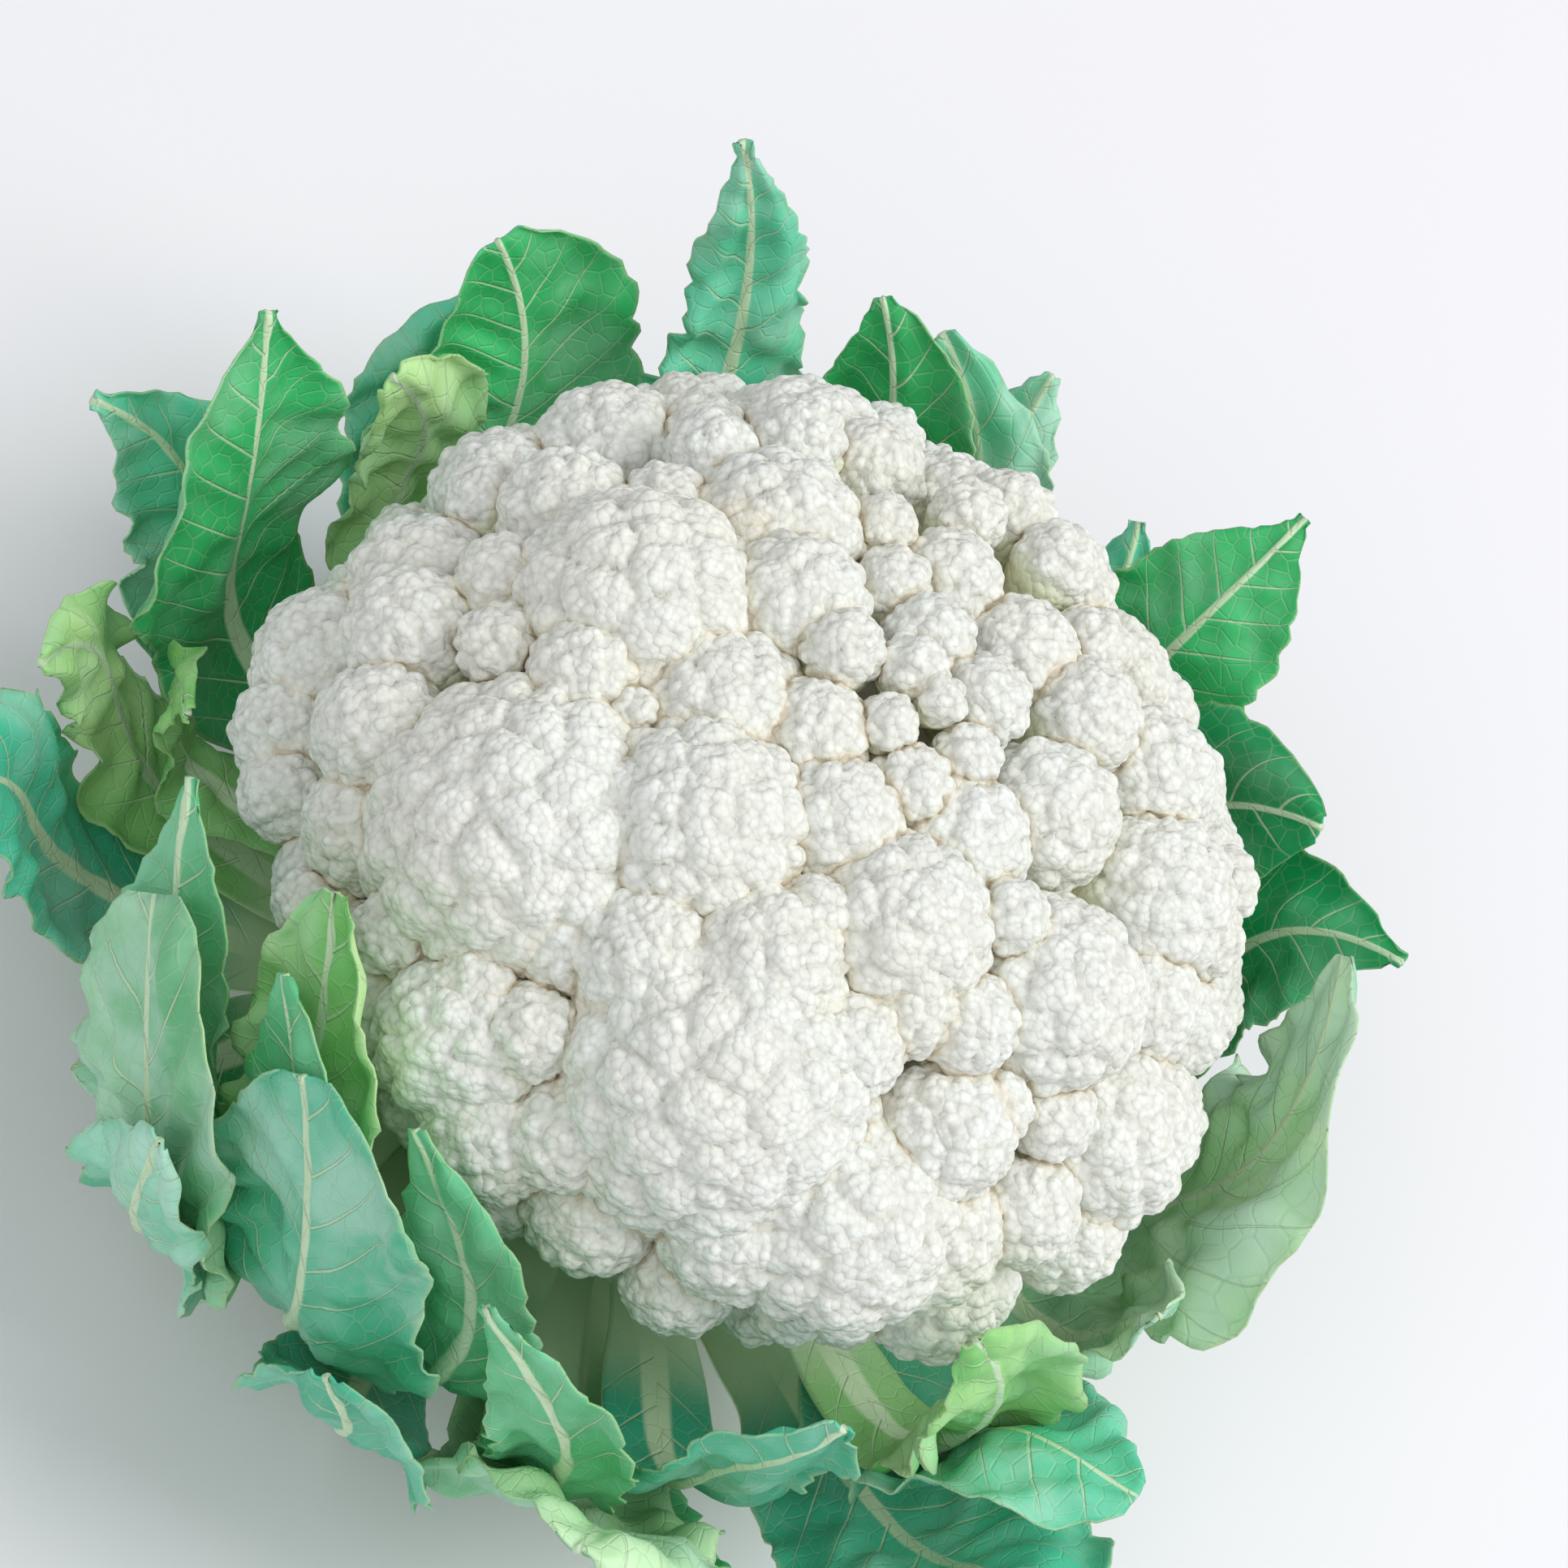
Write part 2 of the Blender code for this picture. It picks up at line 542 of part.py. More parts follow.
def leaf_midline(leaf):
    """(radius, height, share of length past the shoulder) at even steps along the leaf's midrib."""
    layer = LAYERS[leaf.layer]
    length = layer.run + layer.turn + leaf.reach
    radius, height = FOOT_RADIUS, layer.foot
    line = []
    for i in range(MIDLINE_STEPS + 1):
        along = length * i / MIDLINE_STEPS
        if along < layer.run:
            slope = layer.foot_slope
        elif along < layer.run + layer.turn:
            turned = smooth((along - layer.run) / layer.turn)
            slope = layer.foot_slope + (layer.slope - layer.foot_slope) * turned
        else:
            beyond = (along - layer.run - layer.turn) / leaf.reach
            slope = layer.slope + (leaf.slope - layer.slope) * beyond
        line.append((radius, height))
        radius += math.cos(math.radians(slope)) * length / MIDLINE_STEPS
        height += math.sin(math.radians(slope)) * length / MIDLINE_STEPS
    return line, (layer.run + layer.turn) / length


def leaf_half_width(leaf, s):
    """Half the leaf's width at the share s of its length, before its edge lobes."""
    foot = max(PETIOLE_SMALLEST, leaf.width * PETIOLE_SHARE)
    neck = foot * PETIOLE_GROWTH
    if s < PETIOLE_END:
        return foot + (neck - foot) * s / PETIOLE_END
    if s < leaf.widest:
        rise = smooth((s - PETIOLE_END) / (leaf.widest - PETIOLE_END))
        return neck + (leaf.width - neck) * rise
    fall = (s - leaf.widest) / (1 - leaf.widest)
    closing = leaf.point + (leaf.width - leaf.point) * (1 - fall**OUTLINE_FULLNESS)
    return max(closing * math.sqrt(1 - TIP_ROUNDING * fall**TIP_ROUNDNESS), SMALLEST_TIP)


def leaf_rows(leaf):
    return WIDE_LEAF_ROWS if leaf.width > WIDE_LEAF else NARROW_LEAF_ROWS


def edge_lobes(leaf, s):
    """How much of its width the leaf keeps at the share s of its length, between its lobes."""
    fade = smooth((s - PETIOLE_END) / EDGE_LOBE_FADE)
    return 1 - EDGE_LOBE_DEPTH * fade * (0.5 + 0.5 * math.cos(math.pi * leaf_rows(leaf) * s))


def edge_curl(leaf, s, w):
    """How far the blade curls out from the stalk's axis, most at its edges and by turns along them."""
    side = smooth((abs(w) - CURL_START) / (1 - CURL_START)) ** 2
    turns = CURL_EVEN + CURL_SWING * math.sin(CURL_RIPPLES * s + leaf.foot + (CURL_SHIFT if w > 0 else 0))
    return leaf.curl * side * turns * smooth((s - WAVE_START) / BLADE_OPENING)


def leaf_point(leaf, line, shoulder, s, w):
    """A point of the leaf's inner face: s runs from its foot to its tip, w from edge to edge."""
    place = s * (len(line) - 1)
    i = min(int(place), len(line) - 2)
    share = place - i
    radius = line[i][0] * (1 - share) + line[i + 1][0] * share
    height = line[i][1] * (1 - share) + line[i + 1][1] * share
    rise = line[i + 1][1] - line[i][1]
    run = line[i + 1][0] - line[i][0]
    size = math.hypot(rise, run)
    lean = 0.0
    if s < shoulder:
        azimuth = leaf.foot + (leaf.blade - leaf.foot) * smooth(s / shoulder)
    else:
        beyond = (s - shoulder) / (1 - shoulder)
        azimuth = leaf.blade + (leaf.tip - leaf.blade) * beyond**TIP_BEND
        sideways = math.radians(leaf.tip - leaf.blade) * TIP_BEND * beyond ** (TIP_BEND - 1) * radius
        lean = math.atan2(sideways, leaf.reach)
    half_width = leaf_half_width(leaf, s)
    aside = w * half_width * (1 if abs(w) < 1 else edge_lobes(leaf, s))
    turn = math.radians(azimuth) + aside * math.cos(lean) / max(radius, FOOT_RADIUS)
    ripple = math.sin(RIPPLES * s + RIPPLE_SLANT * w + leaf.blade)
    wave = leaf.wave * w**2 * half_width / leaf.width * smooth((s - WAVE_START) / BLADE_OPENING) * ripple
    wave += edge_curl(leaf, s, w) * half_width / leaf.width
    outward = wave + aside * math.tan(math.radians(leaf.twist)) * smooth((s - TWIST_START) / BLADE_OPENING)
    radius += (outward * rise - aside * math.sin(lean) * run) / size
    height -= (outward * run + aside * math.sin(lean) * rise) / size
    return np.array([radius * math.cos(turn), radius * math.sin(turn), height])


def leaf_normal(leaf, line, shoulder, s, w):
    """The unit normal there, away from the stalk's axis and down."""
    s0, s1 = max(s - NORMAL_STEP, 0), min(s + NORMAL_STEP, 1)
    w0, w1 = max(w - NORMAL_SIDE_STEP, -INSIDE_EDGE), min(w + NORMAL_SIDE_STEP, INSIDE_EDGE)
    ahead = leaf_point(leaf, line, shoulder, s1, w) - leaf_point(leaf, line, shoulder, s0, w)
    aside = leaf_point(leaf, line, shoulder, s, w1) - leaf_point(leaf, line, shoulder, s, w0)
    normal = np.cross(aside, ahead)
    return normal / np.linalg.norm(normal)


def rib_thickness(s):
    """How far the midrib stands out of the leaf's back."""
    return RIB_FOOT_THICKNESS + (RIB_TIP_THICKNESS - RIB_FOOT_THICKNESS) * smooth(s / RIB_LENGTH_SHARE) ** RIB_THINNING


def build_leaf(name, leaf, finish):
    """A thin arched blade with lobed edges on a thick midrib, all one body."""
    line, shoulder = leaf_midline(leaf)
    rib = RIB_HALF_WIDTH_SHARE
    columns = (-1, -rib, 0, rib, 1)
    if leaf.width > WIDE_LEAF:
        columns = (-1, -BLADE_COLUMN_SHARE, -rib, 0, rib, BLADE_COLUMN_SHARE, 1)
    front, back = [], []
    rows = leaf_rows(leaf)
    for row in range(rows + 1):
        s = row / rows
        petiole = 1 - smooth((s - PETIOLE_ROUND_UNTIL) / PETIOLE_FLATTENING)
        for w in columns:
            point = leaf_point(leaf, line, shoulder, s, w)
            normal = leaf_normal(leaf, line, shoulder, s, w)
            stalked = 1 - abs(w) ** 2
            ridge = 1.0 if w == 0 else (RIB_SIDE_SHARE if abs(w) == rib else 0.0)
            depth = rib_thickness(s) * ((1 - petiole) * ridge + petiole * max(stalked, 0.0))
            front.append(point)
            back.append(point + normal * (BLADE_THICKNESS + depth))
    count, across_count = len(front), len(columns)
    faces = []
    for row in range(rows):
        for k in range(across_count - 1):
            a = row * across_count + k
            b, c, d = a + 1, a + across_count + 1, a + across_count
            faces += [(a, b, c), (a, c, d)]
            faces += [(count + a, count + c, count + b), (count + a, count + d, count + c)]
    rim = [row * across_count for row in range(rows + 1)]
    rim += [rows * across_count + k for k in range(1, across_count)]
    rim += [row * across_count + across_count - 1 for row in range(rows - 1, -1, -1)]
    rim += list(range(across_count - 2, 0, -1))
    for k, a in enumerate(rim):
        b = rim[(k + 1) % len(rim)]
        faces += [(a, b, count + b), (a, count + b, count + a)]
    return add_object(name, front + back, faces, finish, 60)


def main():
    clear_scene()
    build_curd(material("curd", CURD_COLOUR, 0.7))
    build_stalk(material("stalk", STALK_COLOUR, 0.6))
    green = material("leaf", LEAF_COLOUR, 0.5)
    for name, leaf in LEAVES.items():
        build_leaf(name, leaf, green)


main()
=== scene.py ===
"""A whole white cauliflower: its granular curd, its cut stalk and its veined wrapper leaves."""

import math
import random
from collections import namedtuple

import bpy
import numpy as np
from bpy.props import FloatProperty, FloatVectorProperty, PointerProperty
from mathutils import Matrix, Vector, kdtree


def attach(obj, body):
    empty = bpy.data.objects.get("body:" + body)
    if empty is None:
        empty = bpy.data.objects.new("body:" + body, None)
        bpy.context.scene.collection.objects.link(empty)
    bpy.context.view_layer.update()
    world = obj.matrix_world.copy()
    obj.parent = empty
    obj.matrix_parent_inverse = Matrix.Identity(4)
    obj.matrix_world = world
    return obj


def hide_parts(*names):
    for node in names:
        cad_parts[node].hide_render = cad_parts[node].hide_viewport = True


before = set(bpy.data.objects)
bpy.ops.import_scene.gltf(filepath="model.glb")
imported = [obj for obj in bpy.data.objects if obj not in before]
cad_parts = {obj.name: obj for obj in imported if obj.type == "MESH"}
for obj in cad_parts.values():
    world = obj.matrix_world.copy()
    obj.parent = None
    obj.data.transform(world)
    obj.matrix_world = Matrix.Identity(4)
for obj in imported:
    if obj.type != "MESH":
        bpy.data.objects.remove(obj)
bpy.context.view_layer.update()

bl_info = {
    "name": "Cauliflower",
    "version": (1, 0, 0),
    "blender": (4, 5, 0),
    "location": "3D View > Sidebar > Cauliflower",
    "description": "Builds a white cauliflower with its granular curd, stalk and wrapper leaves",
    "category": "Object",
}

MM = 0.001

# Size and place of the curd, as in the solid model.
RING_RADIUS = 83 * MM
RING_HEIGHT = 85 * MM
CROWN_HEIGHT = 60 * MM
SKIRT_DEPTH = 29 * MM
UNDERSIDE_HEIGHT = 50 * MM
CORE_SHARE = 0.89
CURD_EYE = np.array([0, 0, RING_HEIGHT - 6 * MM])
FLORET_SPREAD = 1.15
FLORET_LIFT = 2.4 * MM
FLORET_LIFT_SHARE = 0.13

# A floret's mesh: rings of points round its top, and a branch of steps given as half width
# and place along the floret's axis, in its radii.
FLORET_COVER = math.radians(112)
FLORET_LEAST_RINGS = 6
FLORET_MOST_RINGS = 72
FLORET_SEED = 1000
BRANCH_STEPS = ((0.86, -0.62), (0.62, -1.05), (0.34, -1.6), (0.12, -2.0))
BRANCH_END = 2.05
BRANCH_TINT = 0.6
BRANCH_TINT_START = 1.75
BRANCH_TINT_TURN = 0.2
BRANCH_TINT_ON_HEAD = 0.5

# A floret's relief: lumps, with knobs on them and grains on those.
LUMP_SIZE_SHARE = 0.5
LUMP_SMALLEST = 5.0 * MM
LUMP_LARGEST = 10.5 * MM
KNOB_SIZE = 5.4 * MM
GRAIN_SIZE = 2.7 * MM
HEAD_INSET = 1.6 * MM
CELL_AREA = 0.87
CELL_JITTER = 0.34
# How strongly the painted shade in the seams of the lumps, the knobs and the grains shows, and how wide it
# is.
SEAM_SHADES = ((0.45, 0.22), (0.30, 0.28), (0.45, 0.42))
# Painted shade in the creases between florets: how far it looks for neighbours, where it starts, how fast
# it fades, and how much less of it there is where a floret stands out of the dome, up to what height.
NEIGHBOUR_REACH = 8 * MM
CREASE_START = 0.3 * MM
CREASE_WIDTH = 1.15 * MM
CREASE_OPENING = 0.7
CREASE_OPENING_HEIGHT = 8 * MM

# The body that the florets stand on.
BODY_RINGS = 90
BODY_COVER = 0.999
BODY_SEED = 11
BODY_RADIUS = 80 * MM
BODY_KNOB_SIZE = 7 * MM
BODY_KNOB_HEIGHT = 1.6 * MM
BODY_UNDERSIDE_LIFT = 2.0 * MM
BODY_UNDERSIDE_KNOB_HEIGHT = 1.8 * MM
# Painted shade on the body: over it deep in the gaps, on its flat underside, and in the seams between its
# knobs.
BODY_CREASE_SHADE = 0.9
BODY_UNDERSIDE_CREASE_SHADE = 0.25
BODY_SEAM_SHADE = 0.6
BODY_UNDERSIDE_TINT = 0.75

# The curd's pieces: two halves of its crown, and six round it, counted from the right.
CROWN_PIECE_SHARE = 0.62
CURD_SECTORS = (
    "curd_right",
    "curd_back_right",
    "curd_back_left",
    "curd_left",
    "curd_front_left",
    "curd_front",
)

STALK_RADIUS = 20 * MM
STALK_CHAMFER = 1.5 * MM
STALK_NECK_HEIGHT = 30 * MM
STALK_NECK_RADIUS = 17.5 * MM
STALK_TOP = UNDERSIDE_HEIGHT + 2 * MM
STALK_SIDES = 96
STALK_ROWS = 24
STALK_INSET = 0.1 * MM
STALK_RIB_HEIGHT = 0.35 * MM
STALK_RIB_DEPTH = 0.4 * MM
STALK_RIB_FADE = 4 * MM
STALK_RING_RADIUS = 0.0135
GAP = 0.4 * MM

# What shows from the picture's side is placed as the picture shows it, in its pixels.
PICTURE_SIDE = 1932
PICTURE_CENTRE = (927, 1069)
PICTURE_SCALE = 0.1357 * MM
PICTURE_ROLL = math.radians(40)
PICTURE_ELEVATION = math.radians(52)
PICTURE_DISTANCE = 0.9
SIGHTING_SHRINKS = np.linspace(1, 0.5, 51)

# The florets stand in clusters, each a swelling of the dome.
SEEN_CLUSTERS = {
    # name: (x, y, radius)
    "front": (890, 1300, 215),
    "left": (620, 1010, 175),
    "middle": (865, 1012, 130),
    "upper": (755, 725, 170),
    "far_left": (400, 850, 195),
    "crown_left": (690, 550, 140),
    "crown_back": (1000, 565, 150),
    "crown_middle": (1000, 780, 120),
    "right_high": (1270, 680, 165),
    "right_buds": (1150, 850, 110),
    "right": (1400, 890, 140),
    "centre_right": (1090, 1130, 145),
    "right_front": (1290, 1225, 150),
    "right_rim": (1470, 1130, 120),
    "left_front": (600, 1360, 180),
    "bottom": (1040, 1500, 200),
    "bottom_right": (1380, 1480, 150),
}
CLUSTER_RISE_SHARE = 0.27
HIDDEN_CLUSTER_SEED = 12
HIDDEN_CLUSTER_TRIES = 600
HIDDEN_CLUSTER_LARGEST = 27 * MM
HIDDEN_CLUSTER_SMALLEST = 14 * MM

# The florets that the picture shows, by where they stand.
SEEN_FLORETS = {
    # place: (x, y, radius) of each
    "front_dome": [(880, 1345, 172), (795, 1180, 80), (945, 1190, 88), (1045, 1290, 62)],
    "large": [(620, 1010, 165), (862, 1010, 118)],
    "small_between": [(692, 1162, 56)],
    "upper": [(785, 715, 132), (612, 700, 52), (718, 822, 60), (610, 785, 46)],
    "left": [
        (480, 685, 88), (495, 768, 72), (345, 790, 88), (350, 900, 64), (455, 895, 72),
        (415, 1012, 68), (325, 975, 52),
    ],
    "crown": [
        (590, 570, 78), (690, 600, 74), (740, 515, 88), (820, 600, 50), (1000, 505, 108),
        (1080, 560, 62), (965, 618, 102), (925, 645, 44),
    ],
    "round": [(988, 725, 80), (1037, 800, 45), (893, 842, 94), (1012, 887, 63)],
    "pip": [(783, 872, 26)],
    "buds": [
        (1095, 890, 33), (1150, 872, 28), (1135, 962, 47), (1122, 828, 38), (1196, 930, 38),
        (1110, 705, 44), (1155, 775, 50), (1222, 855, 52), (1092, 640, 38),
    ],
    "middle_right": [(1042, 1003, 73), (1210, 1022, 78), (1330, 985, 80)],
    "right_high": [(1190, 590, 64), (1188, 692, 60), (1240, 640, 56)],
    "right_shoulder": [(1320, 695, 82), (1285, 785, 70), (1400, 805, 78)],
    "right_side": [(1350, 875, 64), (1432, 945, 74)],
    "right_low_and_gap": [(1120, 1140, 100), (1125, 1240, 54), (1000, 1130, 44)],
    "right_front": [(1322, 1230, 104), (1200, 1262, 56), (1245, 1130, 42)],
    "right_rim": [(1455, 1100, 92), (1445, 1240, 74), (1400, 1420, 112), (1348, 1560, 72)],
    "bottom": [
        (1270, 1500, 64), (1180, 1405, 78), (1235, 1370, 46), (1045, 1530, 122), (905, 1532, 80),
        (1155, 1545, 86),
    ],
    "left_front": [
        (560, 1290, 98), (605, 1400, 74), (690, 1400, 62), (715, 1515, 74), (600, 1480, 62),
        (590, 1215, 44), (480, 1150, 48), (655, 1272, 52),
    ],
    "behind_front_dome": [(765, 1440, 58)],
}

# The florets on the sides that the picture hides fill the dome by a rule.
HIDDEN_SEED = 7
HIDDEN_TRIES = 5200
HIDDEN_LARGEST = 19 * MM
HIDDEN_SMALLEST = 6.5 * MM
HIDDEN_CLEAR_SHARE = 0.84
HIDDEN_LOWEST = 57 * MM
HIDDEN_HEIGHTS = (-0.93, 0.98)
HIDDEN_SIZES = (0.92, 1.06)

# The wrapper leaves' layers and outlines, as in the solid model.
Layer = namedtuple("Layer", "foot foot_slope run turn slope")
LAYERS = (
    Layer(foot=43 * MM, foot_slope=1, run=55.5 * MM, turn=33 * MM, slope=84),
    Layer(foot=35 * MM, foot_slope=4.6, run=56.5 * MM, turn=37 * MM, slope=79),
    Layer(foot=27 * MM, foot_slope=7.8, run=57.5 * MM, turn=41 * MM, slope=73),
    Layer(foot=19 * MM, foot_slope=11, run=58.5 * MM, turn=44 * MM, slope=67),
    Layer(foot=11 * MM, foot_slope=14, run=59.5 * MM, turn=47 * MM, slope=61),
)
FOOT_RADIUS = STALK_RADIUS + GAP

# A leaf: its kind; its layer; its azimuths in degrees at the foot, the shoulder and the tip;
# its reach past the shoulder; the slope at its tip and the blade's twist in degrees; its
# largest half width; where along its length that is; its half width at the tip; and the wave
# and the curl of its edges. The lengths are in millimetres.
LEAF_TABLE = {
    "leaf_dark_right": ("dark", 0, 47, 58, 48, 34, 64, -6, 25, 0.72, 8.0, 1.2, 1.2),
    "leaf_back_right": ("green", 0, 108, 106, 116, 48, 76, 0, 21, 0.68, 6.0, 1.2, 1.6),
    "leaf_pale_inner": ("yellow", 0, 165, 158, 167, 32, 80, 0, 16, 0.74, 9.0, 1.2, 3.4),
    "leaf_small_left": ("yellow", 0, 203, 200, 209, 18, 92, 0, 10, 0.76, 3.0, 0.8, 3.4),
    "leaf_ruffled_front": ("yellow", 0, 243, 256, 240, 54, 106, 0, 20, 0.76, 9.0, 0.6, 3.4),
    "leaf_green_front": ("green", 0, 284, 278, 262, 42, 96, 0, 15, 0.74, 4.0, 0.8, 1.6),
    "leaf_ruffled_right": ("yellow", 0, 327, 332, 320, 46, 98, 0, 17, 0.78, 6.0, 0.8, 3.4),
    "leaf_low_right": ("pale", 0, 6, -5, -9, 20, 80, 0, 15, 0.76, 6.0, 1.2, 1.2),
    "leaf_pale_right": ("pale", 1, 14, 17, 33, 38, 94, 0, 29, 0.7, 13.0, 1.4, 5.4),
    "leaf_pointed_right": ("green", 1, 72, 72, 74, 54, 40, -8, 26, 0.66, 2.4, 1.6, 1.6),
    "leaf_tall_back": ("mint", 1, 127, 124, 134, 70, 78, 0, 15, 0.68, 2.2, 1.2, 5.0),
    "leaf_big_left": ("green", 1, 185, 181, 177, 50, 58, 12, 28, 0.7, 2.4, 1.6, 1.6),
    "leaf_jagged_left": ("green", 1, 226, 238, 224, 44, 92, -14, 18, 0.72, 2.6, 1.2, 1.6),
    "leaf_folded_left": ("green", 1, 262, 261, 245, 50, 96, 0, 18, 0.76, 6.0, 1.2, 1.6),
    "leaf_teal_fold": ("teal", 1, 305, 305, 308, 40, 84, 0, 19, 0.76, 6.0, 1.4, 2.0),
    "leaf_far_right": ("dark", 2, 37, 45, 37, 34, 50, -6, 21, 0.72, 2.4, 1.8, 1.2),
    "leaf_strap_back": ("waxy", 2, 101, 95, 107, 36, 60, 0, 17, 0.7, 7.0, 1.6, 1.6),
    "leaf_broad_back": ("green", 2, 150, 143, 149, 38, 64, 0, 29, 0.7, 14.0, 1.2, 1.6),
    "leaf_rolled_front": ("mint", 2, 252, 265, 253, 50, 100, 0, 26, 0.78, 15.0, 1.4, 0.3),
    "leaf_small_front": ("green", 2, 290, 291, 276, 46, 90, 0, 14, 0.76, 3.0, 1.2, 1.6),
    "leaf_gray_right": ("mint", 1, 336, 335, 338, 31, 10, 0, 24, 0.72, 12.0, 1.6, 5.0),
    "leaf_lobe_back": ("waxy", 3, 92, 96, 97, 38, 54, 0, 14, 0.72, 5.0, 1.8, 4.2),
    "leaf_far_left": ("mint", 3, 172, 180, 186, 38, 34, 8, 18, 0.7, 2.4, 2.0, 5.0),
    "leaf_pale_left": ("yellow", 3, 205, 198, 206, 22, 48, 0, 16, 0.74, 6.0, 1.2, 3.4),
    "leaf_white_curl": ("pale", 3, 237, 248, 232, 40, 112, 0, 25, 0.8, 16.0, 1.4, 3.9),
    "leaf_gray_front": ("pale", 3, 298, 295, 292, 24, 30, 0, 28, 0.76, 14.0, 1.6, 5.4),
    "leaf_base_right": ("green", 4, 20, 19, 20, 12, 66, 0, 18, 0.76, 9.0, 1.6, 1.6),
    "leaf_base_back": ("teal", 4, 74, 80, 84, 26, 50, 0, 19, 0.76, 3.0, 1.6, 2.0),
    "leaf_base_left": ("mint", 4, 148, 147, 146, 20, 60, 0, 23, 0.76, 9.0, 1.6, 5.0),
    "leaf_long_left": ("teal", 4, 210, 213, 219, 32, 34, 0, 21, 0.76, 4.0, 1.4, 2.0),
    "leaf_spotted_left": ("waxy", 4, 240, 251, 250, 38, 86, 0, 16, 0.78, 7.0, 1.6, 5.0),
    "leaf_dark_front": ("teal", 4, 270, 274, 270, 28, 76, 0, 20, 0.78, 9.0, 1.6, 2.0),
    "leaf_bright_front": ("green", 4, 300, 306, 306, 16, 56, 0, 13, 0.78, 4.0, 1.0, 1.6),
    "leaf_big_front": ("teal", 4, 334, 330, 325, 30, 24, -4, 29, 0.76, 4.0, 2.0, 2.0),
}
Leaf = namedtuple("Leaf", "kind layer foot blade tip reach slope twist width widest point wave curl")
LEAF_LENGTHS = ("reach", "width", "point", "wave", "curl")


def leaf_of(row):
    """A leaf of the table, with its lengths in metres."""
    leaf = Leaf(*row)
    return leaf._replace(**{key: getattr(leaf, key) * MM for key in LEAF_LENGTHS})


LEAVES = {name: leaf_of(row) for name, row in LEAF_TABLE.items()}

SMALLEST_TIP = 2.2 * MM
PETIOLE_SHARE = 0.25
PETIOLE_SMALLEST = 4.2 * MM
PETIOLE_GROWTH = 1.5
PETIOLE_END = 0.26
PETIOLE_ROUND_UNTIL = 0.1
PETIOLE_FLATTENING = 0.35
RIB_FOOT_THICKNESS = 4.3 * MM
RIB_TIP_THICKNESS = 0.5 * MM
RIB_LENGTH_SHARE = 0.95
RIB_THINNING = 0.8
OUTLINE_FULLNESS = 1.7
TIP_ROUNDING = 0.8
TIP_ROUNDNESS = 6
EDGE_LOBE_DEPTH = 0.15
EDGE_LOBE_FADE = 0.15
MIDLINE_STEPS = 240
TIP_BEND = 2
RIPPLES = 9
RIPPLE_SLANT = 2.5
WAVE_START = 0.45
TWIST_START = 0.5
CURL_START = 0.3
CURL_EVEN = 0.55
CURL_SWING = 0.6
CURL_RIPPLES = 9
CURL_SHIFT = 2
BLADE_OPENING = 0.3
WIDE_LEAF = 21 * MM
WIDE_LEAF_ROWS = 10
NARROW_LEAF_ROWS = 8

# The leaves' relief, finer than the solid model's.
COLUMN_SHARE = 0.85
COLUMN_CROWDING = 1.25
LOBES_FROM = 0.4
TEETH_FROM = 0.6
TOOTH_SHORTEST = 2.5 * MM
TOOTH_LONGEST = 7 * MM
TOOTH_SMALLEST_SHARE = 0.25
TOOTH_BACK_SHARE = 0.72
BLADE_START = 0.42
BLADE_RANGE = 0.25
BLADE_TINT_START = 0.3
BLADE_TINT_RANGE = 0.2
LEAST_HALF_WIDTH = 0.3 * MM
FRILL_LENGTH = 2.6 * MM
FRILL_WANDER = 1.5
FRILL_WANDER_TURNS = 17
FOLD_HEIGHT = 3.0 * MM
FOLD_TURNS = 10
FOLD_SIDE_TURNS = 4
CRUMPLE_HEIGHT = 1.0 * MM
CRUMPLE_LENGTH = 2.9 * MM
CRUMPLES_FROM = 0.25
PILLOW_HEIGHT = 0.28 * MM
PILLOW_FROM = 0.15
VEIN_SLANT = 0.75
VEIN_WANDER_ALONG = 0.12
VEIN_WANDER_ALONG_LENGTH = 13 * MM
VEIN_WANDER_ASIDE = 0.1
VEIN_WANDER_ASIDE_LENGTH = 7 * MM
RIB_FOOT_HALF_WIDTH = 4.2 * MM
RIB_TIP_HALF_WIDTH = 0.55 * MM
RIB_RIDGE = 0.35 * MM
EDGE_THINNING = 0.45


def srgb(code):
    """A hex colour as linear red, green, blue and alpha."""
    shares = [int(code[i : i + 2], 16) / 255 for i in (1, 3, 5)]
    return tuple(c / 12.92 if c <= 0.04045 else ((c + 0.055) / 1.055) ** 2.4 for c in shares) + (1.0,)


# Each kind of leaf: its inner face's two greens, its back's two and the darker green of the painted shade
# near its foot; how waxy it is; and in millimetres how ruffled its edges are.
Kind = namedtuple("Kind", "inner inner_other back back_other deep wax ruffle")
KINDS = {
    "green": Kind("#3FC876", "#2BA85C", "#74CC9A", "#46AE6C", "#1E8A50", 0.22, 1.1),
    "dark": Kind("#16B066", "#0E9654", "#55B982", "#3AA270", "#0B7A46", 0.16, 0.9),
    "teal": Kind("#42C49C", "#5CD2AC", "#66C6A4", "#3CAC86", "#1A8A68", 0.36, 1.3),
    "mint": Kind("#4CC698", "#70D4AE", "#70C8A6", "#42B084", "#1F8A62", 0.50, 1.9),
    "waxy": Kind("#60C898", "#84DAB2", "#92DCBC", "#58BC90", "#2A9068", 0.60, 1.7),
    "pale": Kind("#ACE4A2", "#D2F2C6", "#A8DCB4", "#66BA80", "#46A462", 0.65, 2.2),
    "yellow": Kind("#9CDC82", "#C4ECA4", "#AEE094", "#78C86C", "#56A858", 0.25, 2.2),
}


def length_setting(name, description, millimetres, least=0.0):
    """A length among the settings."""
    return FloatProperty(
        name=name, description=description, default=millimetres * MM, min=least * MM, unit="LENGTH"
    )


def colour_setting(name, description, code):
    """A colour among the settings, from its hex code."""
    return FloatVectorProperty(
        name=name, description=description, subtype="COLOR", size=4, default=srgb(code), min=0.0, max=1.0
    )


